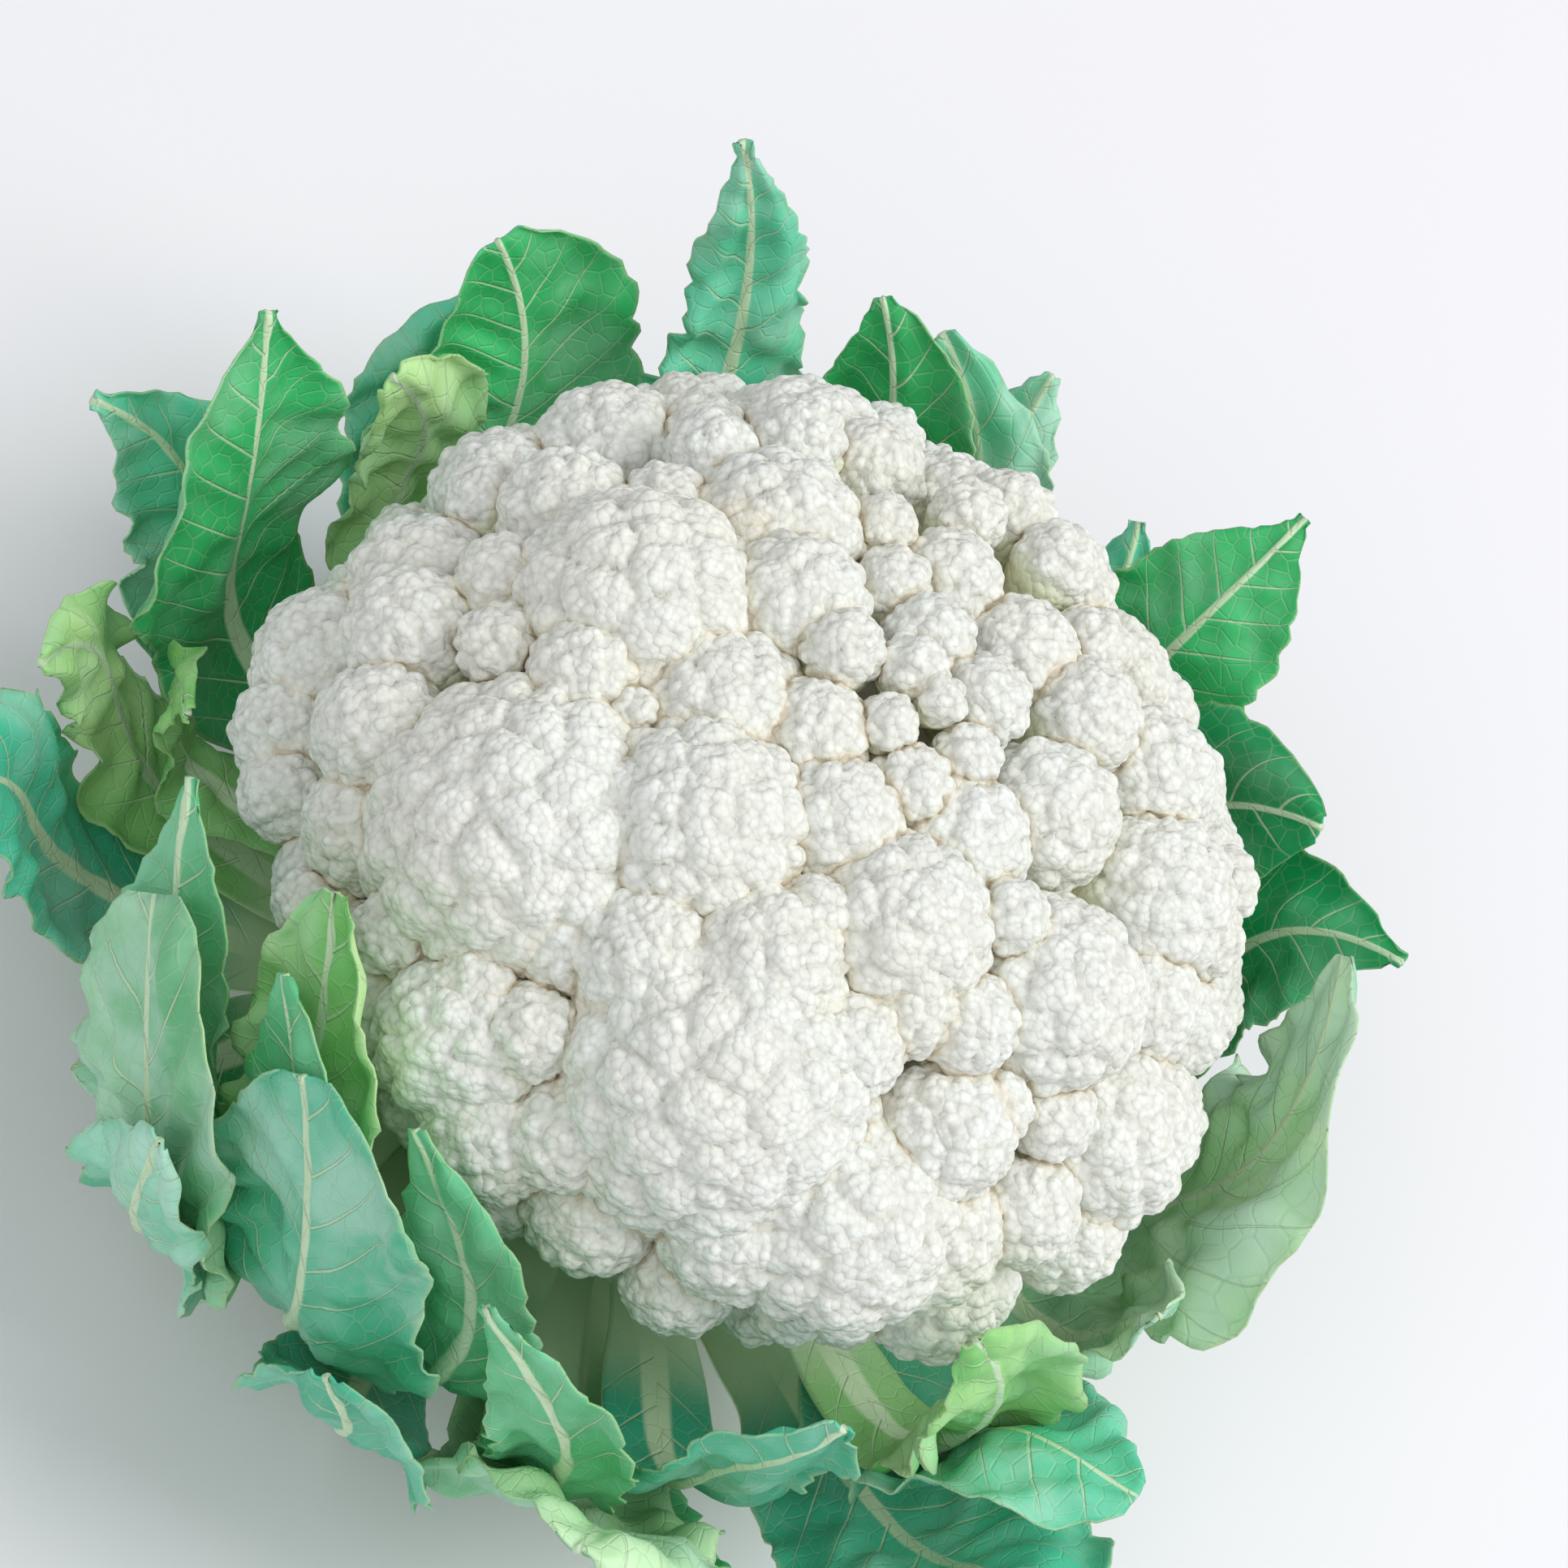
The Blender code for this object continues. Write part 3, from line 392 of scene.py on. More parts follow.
class CurdSettings(bpy.types.PropertyGroup):
    """Sizes and colours of the curd."""

    mesh_spacing: length_setting("Mesh spacing", "Distance between a floret's points", 0.72, 0.3)
    lump_height: length_setting("Lump height", "How far a large floret's lumps stand out", 2.5)
    knob_height: length_setting("Knob height", "How far the knobs on the lumps stand out", 0.95)
    grain_height: length_setting("Grain height", "How far the grains on the knobs stand out", 0.32)
    colour: colour_setting("Curd colour", "Colour of the florets' open faces", "#F3F7F3")
    cream: colour_setting("Cream", "Warmer colour that the curd takes on in patches", "#F0EBDA")
    # The colour of the painted shade deep between the florets.
    crease: colour_setting("Crease colour", "Colour deep between the florets", "#B9A98D")


class StalkSettings(bpy.types.PropertyGroup):
    """Colours of the stalk."""

    skin: colour_setting("Skin colour", "Colour of the stalk's side", "#C3D3A4")
    flesh: colour_setting("Flesh colour", "Colour of the stalk's cut face", "#E9EBCF")


class LeafSettings(bpy.types.PropertyGroup):
    """Sizes and colours that all leaves share."""

    mesh_spacing: length_setting("Mesh spacing", "Distance between a leaf's points", 1.25, 0.5)
    thickness: length_setting("Blade thickness", "Thickness of the blade between its veins", 0.7, 0.2)
    tooth_depth: length_setting("Tooth depth", "Depth of the largest teeth of a leaf's edge", 2.6)
    vein_spacing: length_setting("Vein spacing", "Distance between side veins along the midrib", 9.0, 2)
    rib: colour_setting("Rib colour", "Colour of the midrib and the petiole", "#C9E4BC")


class StageSettings(bpy.types.PropertyGroup):
    """The floor and the camera."""

    floor_colour: colour_setting("Floor colour", "Colour of the plain floor", "#EEEDF0")
    elevation: FloatProperty(name="Camera elevation", subtype="ANGLE", default=PICTURE_ELEVATION)
    roll: FloatProperty(name="Camera roll", subtype="ANGLE", default=PICTURE_ROLL)
    distance: FloatProperty(name="Camera distance", default=PICTURE_DISTANCE, unit="LENGTH")


def smooth(x):
    """0 to 1 with level ends, for x from 0 to 1, in numbers or arrays."""
    x = np.clip(x, 0.0, 1.0)
    return x * x * (3 - 2 * x)


def dome_radii(z_sign):
    """The dome's half axes above or below its widest ring."""
    return np.array([RING_RADIUS, RING_RADIUS, CROWN_HEIGHT if z_sign > 0 else SKIRT_DEPTH])


def dome_normal(point):
    """The outward normal of the dome at a point on it."""
    radii = dome_radii(point[2] - RING_HEIGHT)
    normal = (point - np.array([0, 0, RING_HEIGHT])) / radii**2
    return normal / np.linalg.norm(normal)


def dome_sighting(x, y):
    """The point of the dome that the picture shows at the pixel (x, y), or else nearly shows."""
    dx = (x - PICTURE_CENTRE[0]) * PICTURE_SCALE
    dy = (y - PICTURE_CENTRE[1]) * PICTURE_SCALE
    sideways = dx * math.cos(PICTURE_ROLL) + dy * math.sin(PICTURE_ROLL)
    upward = dx * math.sin(PICTURE_ROLL) - dy * math.cos(PICTURE_ROLL)
    sine, cosine = math.sin(PICTURE_ELEVATION), math.cos(PICTURE_ELEVATION)
    eye = np.array([0, -cosine, sine]) * PICTURE_DISTANCE
    for shrink in SIGHTING_SHRINKS:
        start = np.array([sideways, upward * sine, upward * cosine]) * shrink
        towards = (eye - start) / np.linalg.norm(eye - start)
        for z_sign in (1, -1):
            radii = dome_radii(z_sign)
            a = np.sum((towards / radii) ** 2)
            b = 2 * np.sum(start * towards / radii**2)
            c = np.sum((start / radii) ** 2) - 1
            if b * b >= 4 * a * c:
                hit = start + towards * (-b + math.sqrt(b * b - 4 * a * c)) / (2 * a)
                if hit[2] * z_sign >= 0:
                    return hit + np.array([0, 0, RING_HEIGHT])
    raise ValueError("the pixel lies far outside the curd")


def sighted(rounds, spread):
    """(surface point, radius) of each (x, y, radius) that the picture shows."""
    return [(dome_sighting(x, y), radius * PICTURE_SCALE * spread) for x, y, radius in rounds]


def filled(seen, seed, tries, largest, smallest):
    """The seen ones, and others over the rest of the dome, each as large as it finds room for."""
    draw = random.Random(seed)
    placed = list(seen)
    for _ in range(tries):
        azimuth = draw.uniform(0, 2 * math.pi)
        height = draw.uniform(*HIDDEN_HEIGHTS)
        level = math.sqrt(1 - height * height)
        unit = np.array([level * math.cos(azimuth), level * math.sin(azimuth), height])
        point = unit * dome_radii(height) + np.array([0, 0, RING_HEIGHT])
        if point[2] < HIDDEN_LOWEST:
            continue
        room = min(
            np.linalg.norm(point - other) - HIDDEN_CLEAR_SHARE * radius for other, radius in placed
        )
        radius = min(room / HIDDEN_CLEAR_SHARE, largest)
        if radius > smallest:
            placed.append((point, radius * draw.uniform(*HIDDEN_SIZES)))
    return placed


def swelling(point, clusters):
    """How far the clusters lift the dome's surface at a point on it."""
    rises = []
    for middle, radius in clusters:
        apart = np.linalg.norm(point - middle) / radius
        rises.append(CLUSTER_RISE_SHARE * radius * max(1 - apart**2, 0))
    return max(rises)


def floret_balls():
    """(centres, radii) of the balls that the florets' heads are."""
    clusters = filled(
        sighted(SEEN_CLUSTERS.values(), 1),
        HIDDEN_CLUSTER_SEED,
        HIDDEN_CLUSTER_TRIES,
        HIDDEN_CLUSTER_LARGEST,
        HIDDEN_CLUSTER_SMALLEST,
    )
    seen = [each for place in SEEN_FLORETS.values() for each in place]
    florets = filled(
        sighted(seen, FLORET_SPREAD), HIDDEN_SEED, HIDDEN_TRIES, HIDDEN_LARGEST, HIDDEN_SMALLEST
    )
    centres = []
    for point, radius in florets:
        lift = FLORET_LIFT + swelling(point, clusters)
        centres.append(point - dome_normal(point) * (radius * (1 - FLORET_LIFT_SHARE) - lift))
    return np.array(centres), np.array([radius for _, radius in florets])


def across(axis):
    """Two unit vectors square to an axis and to each other."""
    helper = np.array([0.0, 0.0, 1.0]) if abs(axis[2]) < 0.9 else np.array([1.0, 0.0, 0.0])
    first = np.cross(axis, helper)
    first /= np.linalg.norm(first)
    return first, np.cross(axis, first)


def new_piece(name, points, faces, material, nodes, values=None):
    """A smooth mesh piece with its point values, standing for CAD nodes and riding on the body."""
    mesh = bpy.data.meshes.new(name)
    corners = faces.shape[1]
    mesh.vertices.add(len(points))
    mesh.vertices.foreach_set("co", np.asarray(points, np.float32).ravel())
    mesh.loops.add(faces.size)
    mesh.loops.foreach_set("vertex_index", faces.astype(np.int32).ravel())
    mesh.polygons.add(len(faces))
    mesh.polygons.foreach_set("loop_start", np.arange(0, faces.size, corners, dtype=np.int32))
    mesh.update(calc_edges=True)
    mesh.validate()
    mesh.shade_smooth()
    for key, array in (values or {}).items():
        layer = mesh.attributes.new(key, "FLOAT", "POINT")
        layer.data.foreach_set("value", np.asarray(array, np.float32).ravel())
    mesh.materials.append(material)
    piece = bpy.data.objects.new(name, mesh)
    bpy.context.scene.collection.objects.link(piece)
    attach(piece, "root")
    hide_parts(*nodes)
    return piece


def add_node(tree, kind, inputs=None, **settings):
    """A new node with its settings, and values or links for its inputs."""
    made = tree.nodes.new(kind)
    for key, value in settings.items():
        setattr(made, key, value)
    for key, value in (inputs or {}).items():
        if isinstance(value, bpy.types.NodeSocket):
            tree.links.new(value, made.inputs[key])
        else:
            made.inputs[key].default_value = value
    return made


def sum_of(tree, operation, first, second=0.0):
    """The value that a Math node works out."""
    made = add_node(tree, "ShaderNodeMath", {0: first, 1: second}, operation=operation)
    return made.outputs[0]


def step_of(tree, value, low, high, out_low=0.0, out_high=1.0):
    """A value taken smoothly from one range to another."""
    inputs = {0: value, 1: low, 2: high, 3: out_low, 4: out_high}
    made = add_node(tree, "ShaderNodeMapRange", inputs, interpolation_type="SMOOTHSTEP")
    return made.outputs[0]


def times(tree, first, second):
    """The product of two values."""
    return sum_of(tree, "MULTIPLY", first, second)


def mixed(tree, share, first, second):
    """The colour between two colours."""
    inputs = {0: share, 6: first, 7: second}
    return add_node(tree, "ShaderNodeMix", inputs, data_type="RGBA").outputs[2]


def noise_of(tree, vector, scale, detail=2.0, roughness=0.5):
    """A soft cloud of values from 0 to 1."""
    inputs = {"Vector": vector, "Scale": scale, "Detail": detail, "Roughness": roughness}
    return add_node(tree, "ShaderNodeTexNoise", inputs).outputs["Fac"]


def attribute_of(tree, name):
    """A point value of the mesh."""
    return add_node(tree, "ShaderNodeAttribute", attribute_name=name).outputs["Fac"]


def place_of(tree):
    """Where the point lies on the object, in metres."""
    return add_node(tree, "ShaderNodeTexCoord").outputs["Object"]


def new_group(name, inputs, outputs):
    """A node group with named number, vector or colour sockets, and its two end nodes."""
    group = bpy.data.node_groups.new(name, "ShaderNodeTree")
    for label, kind, default in inputs:
        socket = group.interface.new_socket(label, in_out="INPUT", socket_type=kind)
        if default is not None:
            socket.default_value = default
    for label, kind in outputs:
        group.interface.new_socket(label, in_out="OUTPUT", socket_type=kind)
    return group, group.nodes.new("NodeGroupInput"), group.nodes.new("NodeGroupOutput")


def placed_group(tree, group, inputs):
    """A node group placed in a material with its own values."""
    return add_node(tree, "ShaderNodeGroup", inputs, node_tree=group)


def plant_grain_group():
    """Fine cell grain and slow mottling, for every plant surface."""
    if "Plant grain" in bpy.data.node_groups:
        return bpy.data.node_groups["Plant grain"]
    group, start, end = new_group(
        "Plant grain",
        (
            ("Vector", "NodeSocketVector", None),
            ("Grain scale", "NodeSocketFloat", 1200.0),
            ("Mottle scale", "NodeSocketFloat", 40.0),
        ),
        (("Grain", "NodeSocketFloat"), ("Mottle", "NodeSocketFloat")),
    )
    vector = start.outputs["Vector"]
    grain = noise_of(group, vector, start.outputs["Grain scale"], 3.0, 0.6)
    mottle = noise_of(group, vector, start.outputs["Mottle scale"], 3.0, 0.55)
    group.links.new(grain, end.inputs["Grain"])
    group.links.new(step_of(group, mottle, 0.32, 0.68), end.inputs["Mottle"])
    return group


def leaf_veins_group():
    """Side veins at even phases, and the net of small veins between them."""
    if "Leaf veins" in bpy.data.node_groups:
        return bpy.data.node_groups["Leaf veins"]
    group, start, end = new_group(
        "Leaf veins",
        (
            ("Phase", "NodeSocketFloat", 0.0),
            ("Across", "NodeSocketFloat", 0.0),
            ("Along", "NodeSocketFloat", 0.0),
            ("Rim", "NodeSocketFloat", 0.0),
            ("Spacing", "NodeSocketFloat", 9.0),
            ("Width", "NodeSocketFloat", 0.5),
            ("Net size", "NodeSocketFloat", 3.2),
        ),
        (("Side veins", "NodeSocketFloat"), ("Net", "NodeSocketFloat"), ("Pillow", "NodeSocketFloat")),
    )
    share = sum_of(group, "FRACT", start.outputs["Phase"])
    off = sum_of(group, "ABSOLUTE", sum_of(group, "SUBTRACT", share, 0.5))
    distance = times(group, off, start.outputs["Spacing"])
    taper = step_of(group, start.outputs["Rim"], 0.1, 1.0, 1.0, 0.35)
    width = times(group, taper, start.outputs["Width"])
    ratio = sum_of(group, "DIVIDE", distance, width)
    group.links.new(step_of(group, ratio, 0.5, 1.3, 1.0, 0.0), end.inputs["Side veins"])
    group.links.new(step_of(group, off, 0.0, 0.5), end.inputs["Pillow"])

    flat = add_node(group, "ShaderNodeCombineXYZ", {0: start.outputs["Across"], 1: start.outputs["Along"]})
    scale = sum_of(group, "DIVIDE", 1.0, start.outputs["Net size"])
    cells = add_node(
        group,
        "ShaderNodeTexVoronoi",
        {"Vector": flat.outputs[0], "Scale": scale, "Randomness": 0.9},
        feature="DISTANCE_TO_EDGE",
        voronoi_dimensions="2D",
    )
    group.links.new(step_of(group, cells.outputs["Distance"], 0.02, 0.09, 1.0, 0.0), end.inputs["Net"])
    return group


def new_material(name):
    """A node material: its tree and its Principled shader."""
    made = bpy.data.materials.new(name)
    made.use_nodes = True
    return made, made.node_tree, made.node_tree.nodes["Principled BSDF"]


def curd_material(settings):
    """Matt near-white, cream in patches, green on branches; grey painted shade in the seams and round the
    small beads, cream to brownish painted shade in the creases.
    """
    made, tree, shader = new_material("curd_flesh")
    place = place_of(tree)
    grain = placed_group(
        tree, plant_grain_group(), {"Vector": place, "Grain scale": 1400.0, "Mottle scale": 30.0}
    )
    beads = add_node(
        tree,
        "ShaderNodeTexVoronoi",
        {"Vector": place, "Scale": 660.0, "Randomness": 0.95},
        feature="F1",
    ).outputs["Distance"]
    crease = attribute_of(tree, "crease")
    seam = attribute_of(tree, "seam")
    branch = attribute_of(tree, "branch")
    patch = times(tree, grain.outputs["Mottle"], 0.42)
    colour = mixed(tree, patch, tuple(settings.colour), tuple(settings.cream))
    # Grey painted shade in the seams of the lumps, knobs and grains.
    colour = mixed(tree, times(tree, seam, 0.55), colour, srgb("#CDCBC0"))
    # Grey painted shade round the edges of the small beads, where the bump dips.
    bead_shade = step_of(tree, beads, 0.3, 0.75, 0.0, 0.34)
    colour = mixed(tree, bead_shade, colour, srgb("#D2D1C4"))
    # Painted shade in the creases between florets: cream where shallow, brownish where deep.
    colour = mixed(tree, step_of(tree, crease, 0.2, 0.8, 0.0, 0.5), colour, srgb("#E3DAC3"))
    colour = mixed(tree, step_of(tree, crease, 0.75, 1.0, 0.0, 0.6), colour, tuple(settings.crease))
    colour = mixed(tree, branch, colour, srgb("#D9E2B8"))
    tree.links.new(colour, shader.inputs["Base Color"])
    shader.inputs["Roughness"].default_value = 0.72
    shader.inputs["Specular IOR Level"].default_value = 0.32
    small = times(tree, sum_of(tree, "POWER", beads, 2.0), -1.2)
    height = sum_of(tree, "ADD", small, times(tree, grain.outputs["Grain"], 0.15))
    bump = add_node(tree, "ShaderNodeBump", {"Height": height, "Distance": 0.4 * MM, "Strength": 1.0})
    tree.links.new(bump.outputs[0], shader.inputs["Normal"])
    return made


def hex_rings(rings):
    """Ring numbers and turns of a pattern of rings of 6, 12, 18 ... points round one, and its triangles."""
    ring_of = [np.zeros(1)]
    turns = [np.zeros(1)]
    faces = []
    for ring in range(rings):
        outer = 6 * (ring + 1)
        outer_at = 1 + 3 * ring * (ring + 1)
        inner_at = 0 if ring == 0 else 1 + 3 * ring * (ring - 1)
        inner = max(6 * ring, 1)
        sector = np.repeat(np.arange(6), ring + 1)
        step = np.tile(np.arange(ring + 1), 6)
        o = sector * (ring + 1) + step
        i = (sector * ring + step) % inner
        faces.append(np.stack([outer_at + o, outer_at + (o + 1) % outer, inner_at + i], axis=1))
        keep = step < ring
        faces.append(
            np.stack(
                [
                    inner_at + i[keep],
                    outer_at + (o[keep] + 1) % outer,
                    inner_at + (i[keep] + 1) % inner,
                ],
                axis=1,
            )
        )
        ring_of.append(np.full(outer, ring + 1.0))
        turns.append(np.arange(outer) * 2 * math.pi / outer)
    return np.concatenate(ring_of), np.concatenate(turns), np.concatenate(faces)


def ball_points(radius, spacing, draw):
    """Jittered points evenly over a ball, about the spacing apart."""
    count = max(6, int(4 * math.pi * radius**2 / (CELL_AREA * spacing**2)))
    k = np.arange(count) + 0.5
    height = 1 - 2 * k / count
    turn = k * math.pi * (1 + math.sqrt(5)) + draw.uniform(0, 6)
    level = np.sqrt(1 - height**2)
    points = np.stack([level * np.cos(turn), level * np.sin(turn), height], axis=1) * radius
    points += draw.uniform(-CELL_JITTER, CELL_JITTER, points.shape) * spacing
    turned = np.array(Matrix.Rotation(draw.uniform(0, 3), 3, Vector(draw.normal(size=3)).normalized()))
    return points @ turned.T


def cell_share(points, cells):
    """0 on the seams between the cells round the given points, up to 1 at a cell's middle."""
    tree = kdtree.KDTree(len(cells))
    for i, cell in enumerate(cells):
        tree.insert(cell, i)
    tree.balance()
    share = np.empty(len(points))
    for i, point in enumerate(points.tolist()):
        near, next_near = tree.find_n(point, 2)
        share[i] = (next_near[2] - near[2]) / (next_near[2] + near[2])
    return share


def dome_profile(share):
    """The height of a round bump over a cell, from its share."""
    return np.sqrt(np.maximum(1 - (1 - share) ** 2, 0.0))


def height_over_dome(points):
    """How far points lie outside the dome that the clusters swell out of, roughly."""
    off = points - np.array([0, 0, RING_HEIGHT])
    half_axes = np.where(off[:, 2:] > 0, dome_radii(1), dome_radii(-1))
    return (1 - 1 / np.linalg.norm(off / half_axes, axis=1)) * np.linalg.norm(off, axis=1)


def floret_parts(index, centres, radii, settings, rings_table):
    """Points, triangles and point values of one floret's head with its branch."""
    centre, radius = centres[index], radii[index]
    draw = np.random.default_rng(FLORET_SEED + index)
    spacing = settings.mesh_spacing * 1.0
    rings = int(min(max(radius * FLORET_COVER / spacing, FLORET_LEAST_RINGS), FLORET_MOST_RINGS))
    count = 1 + 3 * rings * (rings + 1)
    ring_of, turns, faces = rings_table
    tilt = ring_of[:count] * FLORET_COVER / rings
    axis = (centre - CURD_EYE) / np.linalg.norm(centre - CURD_EYE)
    side, up = across(axis)
    units = (
        np.outer(np.sin(tilt) * np.cos(turns[:count]), side)
        + np.outer(np.sin(tilt) * np.sin(turns[:count]), up)
        + np.outer(np.cos(tilt), axis)
    )
    lump_size = min(max(radius * LUMP_SIZE_SHARE, LUMP_SMALLEST), LUMP_LARGEST)
    shares = [
        cell_share(units * radius, ball_points(radius, size, draw))
        for size in (lump_size, KNOB_SIZE, GRAIN_SIZE)
    ]
    lump = settings.lump_height * lump_size / LUMP_LARGEST * dome_profile(shares[0])
    knob = settings.knob_height * dome_profile(shares[1])
    grain = settings.grain_height * dome_profile(shares[2])
    reach = radius - HEAD_INSET + lump + knob + grain
    heads = centre + units * reach[:, None]

    # Painted shade in the creases: darker the nearer a neighbour floret, lighter where the floret stands
    # high out of the dome.
    others = np.linalg.norm(centres - centre, axis=1) < radii + radius + NEIGHBOUR_REACH
    others[index] = False
    apart = np.full(count, np.inf)
    for other_centre, other_radius in zip(centres[others], radii[others]):
        apart = np.minimum(apart, np.linalg.norm(heads - other_centre, axis=1) - other_radius)
    crease = np.exp(-np.maximum(apart - CREASE_START, 0) / CREASE_WIDTH)
    crease *= 1 - CREASE_OPENING * smooth(height_over_dome(heads) / CREASE_OPENING_HEIGHT)
    # Painted shade in the seams of the lumps, knobs and grains.
    seam = sum(depth * (1 - smooth(share / width)) for share, (depth, width) in zip(shares, SEAM_SHADES))

    last = np.arange(count - 6 * rings, count)
    flat = np.outer(np.cos(turns[last]), side) + np.outer(np.sin(turns[last]), up)
    stem = [centre + flat * radius * wide + axis * radius * deep for wide, deep in BRANCH_STEPS]
    points = np.vstack([heads, *stem, [centre - axis * radius * BRANCH_END]])
    round_ring = len(last)
    belt = []
    above = last
    for step in range(len(BRANCH_STEPS)):
        below = count + step * round_ring + np.arange(round_ring)
        belt.append(np.stack([above, below, np.roll(below, -1)], axis=1))
        belt.append(np.stack([above, np.roll(below, -1), np.roll(above, -1)], axis=1))
        above = below
    end = np.full(round_ring, len(points) - 1)
    belt.append(np.stack([above, end, np.roll(above, -1)], axis=1))
    faces = np.vstack([faces[: 6 * rings * rings], *belt])
    extra = len(points) - count
    tint = smooth((tilt - BRANCH_TINT_START) / BRANCH_TINT_TURN) * BRANCH_TINT_ON_HEAD
    values = {
        "crease": np.concatenate([crease, np.ones(extra)]),
        "seam": np.concatenate([np.minimum(seam, 1), np.zeros(extra)]),
        "branch": np.concatenate([tint, np.full(extra, BRANCH_TINT)]),
    }
    return points, faces, values


def curd_sector(centre):
    """Which of the curd's pieces a floret belongs to: half the crown, or one of six round it."""
    if centre[2] > RING_HEIGHT + CROWN_PIECE_SHARE * CROWN_HEIGHT:
        return "curd_crown_front" if centre[1] < 0 else "curd_crown_back"
    azimuth = math.degrees(math.atan2(centre[1], centre[0])) % 360
    return CURD_SECTORS[int(((azimuth + 30) % 360) // 60)]


def curd_body(material):
    """The knobbly body that the florets' branches run into, seen only deep in the gaps and beneath."""
    rings = BODY_RINGS
    ring_of, turns, faces = hex_rings(rings)
    tilt = ring_of * math.pi * BODY_COVER / rings
    units = np.stack(
        [np.sin(tilt) * np.cos(turns), np.sin(tilt) * np.sin(turns), np.cos(tilt)], axis=1
    )
    draw = np.random.default_rng(BODY_SEED)
    core = dome_radii(1) * CORE_SHARE
    reach = 1 / np.sqrt(np.sum((units / core) ** 2, axis=1))
    cells = ball_points(BODY_RADIUS, BODY_KNOB_SIZE, draw)
    knobs = dome_profile(cell_share(units * BODY_RADIUS, cells))
    reach += BODY_KNOB_HEIGHT * knobs
    floor_height = UNDERSIDE_HEIGHT + BODY_UNDERSIDE_LIFT - BODY_UNDERSIDE_KNOB_HEIGHT * knobs
    down = np.maximum(-units[:, 2], 1e-6)
    under = (CURD_EYE[2] - floor_height) / down
    flat = under < reach
    reach = np.minimum(reach, under)
    points = units * reach[:, None] + CURD_EYE
    # Painted shade: strong over the body deep in the gaps, weaker on its flat underside, and in the seams
    # between its knobs.
    values = {
        "crease": np.where(flat, BODY_UNDERSIDE_CREASE_SHADE, BODY_CREASE_SHADE),
        "seam": BODY_SEAM_SHADE * (1 - knobs),
        "branch": np.where(flat, BODY_UNDERSIDE_TINT, 0.0),
    }
    new_piece("curd_body", points, faces, material, ["curd"], values)


class CAULIFLOWER_OT_curd(bpy.types.Operator):
    """Builds the curd: every floret with its lumps, knobs and grains"""

    bl_idname = "cauliflower.curd"
    bl_label = "Build the curd"

    def execute(self, context):
        settings = context.scene.cauliflower_curd
        material = curd_material(settings)
        centres, radii = floret_balls()
        rings_table = hex_rings(FLORET_MOST_RINGS)
        pieces = {}
        for index in range(len(centres)):
            made = floret_parts(index, centres, radii, settings, rings_table)
            pieces.setdefault(curd_sector(centres[index]), []).append(made)
        for name, made in sorted(pieces.items()):
            starts = np.cumsum([0] + [len(points) for points, _, _ in made])
            points = np.vstack([part[0] for part in made])
            faces = np.vstack([part[1] + start for part, start in zip(made, starts)])
            values = {key: np.concatenate([part[2][key] for part in made]) for key in made[0][2]}
            new_piece(name, points, faces, material, ["curd"], values)
        curd_body(material)
        return {"FINISHED"}


def stalk_material(settings):
    """Pale green skin with fine lengthwise fibres; paler flesh with a ring on the cut face."""
    made, tree, shader = new_material("stalk_skin")
    place = place_of(tree)
    grain = placed_group(
        tree, plant_grain_group(), {"Vector": place, "Grain scale": 1500.0, "Mottle scale": 90.0}
    )
    stretched = add_node(tree, "ShaderNodeMapping", {"Vector": place, "Scale": (1.0, 1.0, 0.12)})
    fibre = noise_of(tree, stretched.outputs[0], 700.0, 2.0)
    parts = add_node(tree, "ShaderNodeSeparateXYZ", {0: place})
    level = add_node(tree, "ShaderNodeCombineXYZ", {0: parts.outputs[0], 1: parts.outputs[1]})
    radius = add_node(tree, "ShaderNodeVectorMath", {0: level.outputs[0]}, operation="LENGTH")
    off_ring = sum_of(tree, "SUBTRACT", radius.outputs["Value"], STALK_RING_RADIUS)
    ring = step_of(tree, sum_of(tree, "ABSOLUTE", off_ring), 0.0006, 0.0022, 1, 0)
    cut = step_of(tree, parts.outputs[2], 0.0002, 0.0012, 1.0, 0.0)
    skin = mixed(tree, times(tree, fibre, 0.5), tuple(settings.skin), srgb("#DCE4C2"))
    skin = mixed(tree, times(tree, grain.outputs["Mottle"], 0.35), skin, srgb("#AFC48C"))
    flesh = mixed(tree, times(tree, ring, 0.45), tuple(settings.flesh), srgb("#BFCF96"))
    flesh = mixed(tree, times(tree, grain.outputs["Grain"], 0.3), flesh, srgb("#D9DDB4"))
    tree.links.new(mixed(tree, cut, skin, flesh), shader.inputs["Base Color"])
    shader.inputs["Roughness"].default_value = 0.55
    shader.inputs["Specular IOR Level"].default_value = 0.4
    bump = add_node(tree, "ShaderNodeBump", {"Height": fibre, "Distance": 0.3 * MM, "Strength": 0.5})
    tree.links.new(bump.outputs[0], shader.inputs["Normal"])
    return made


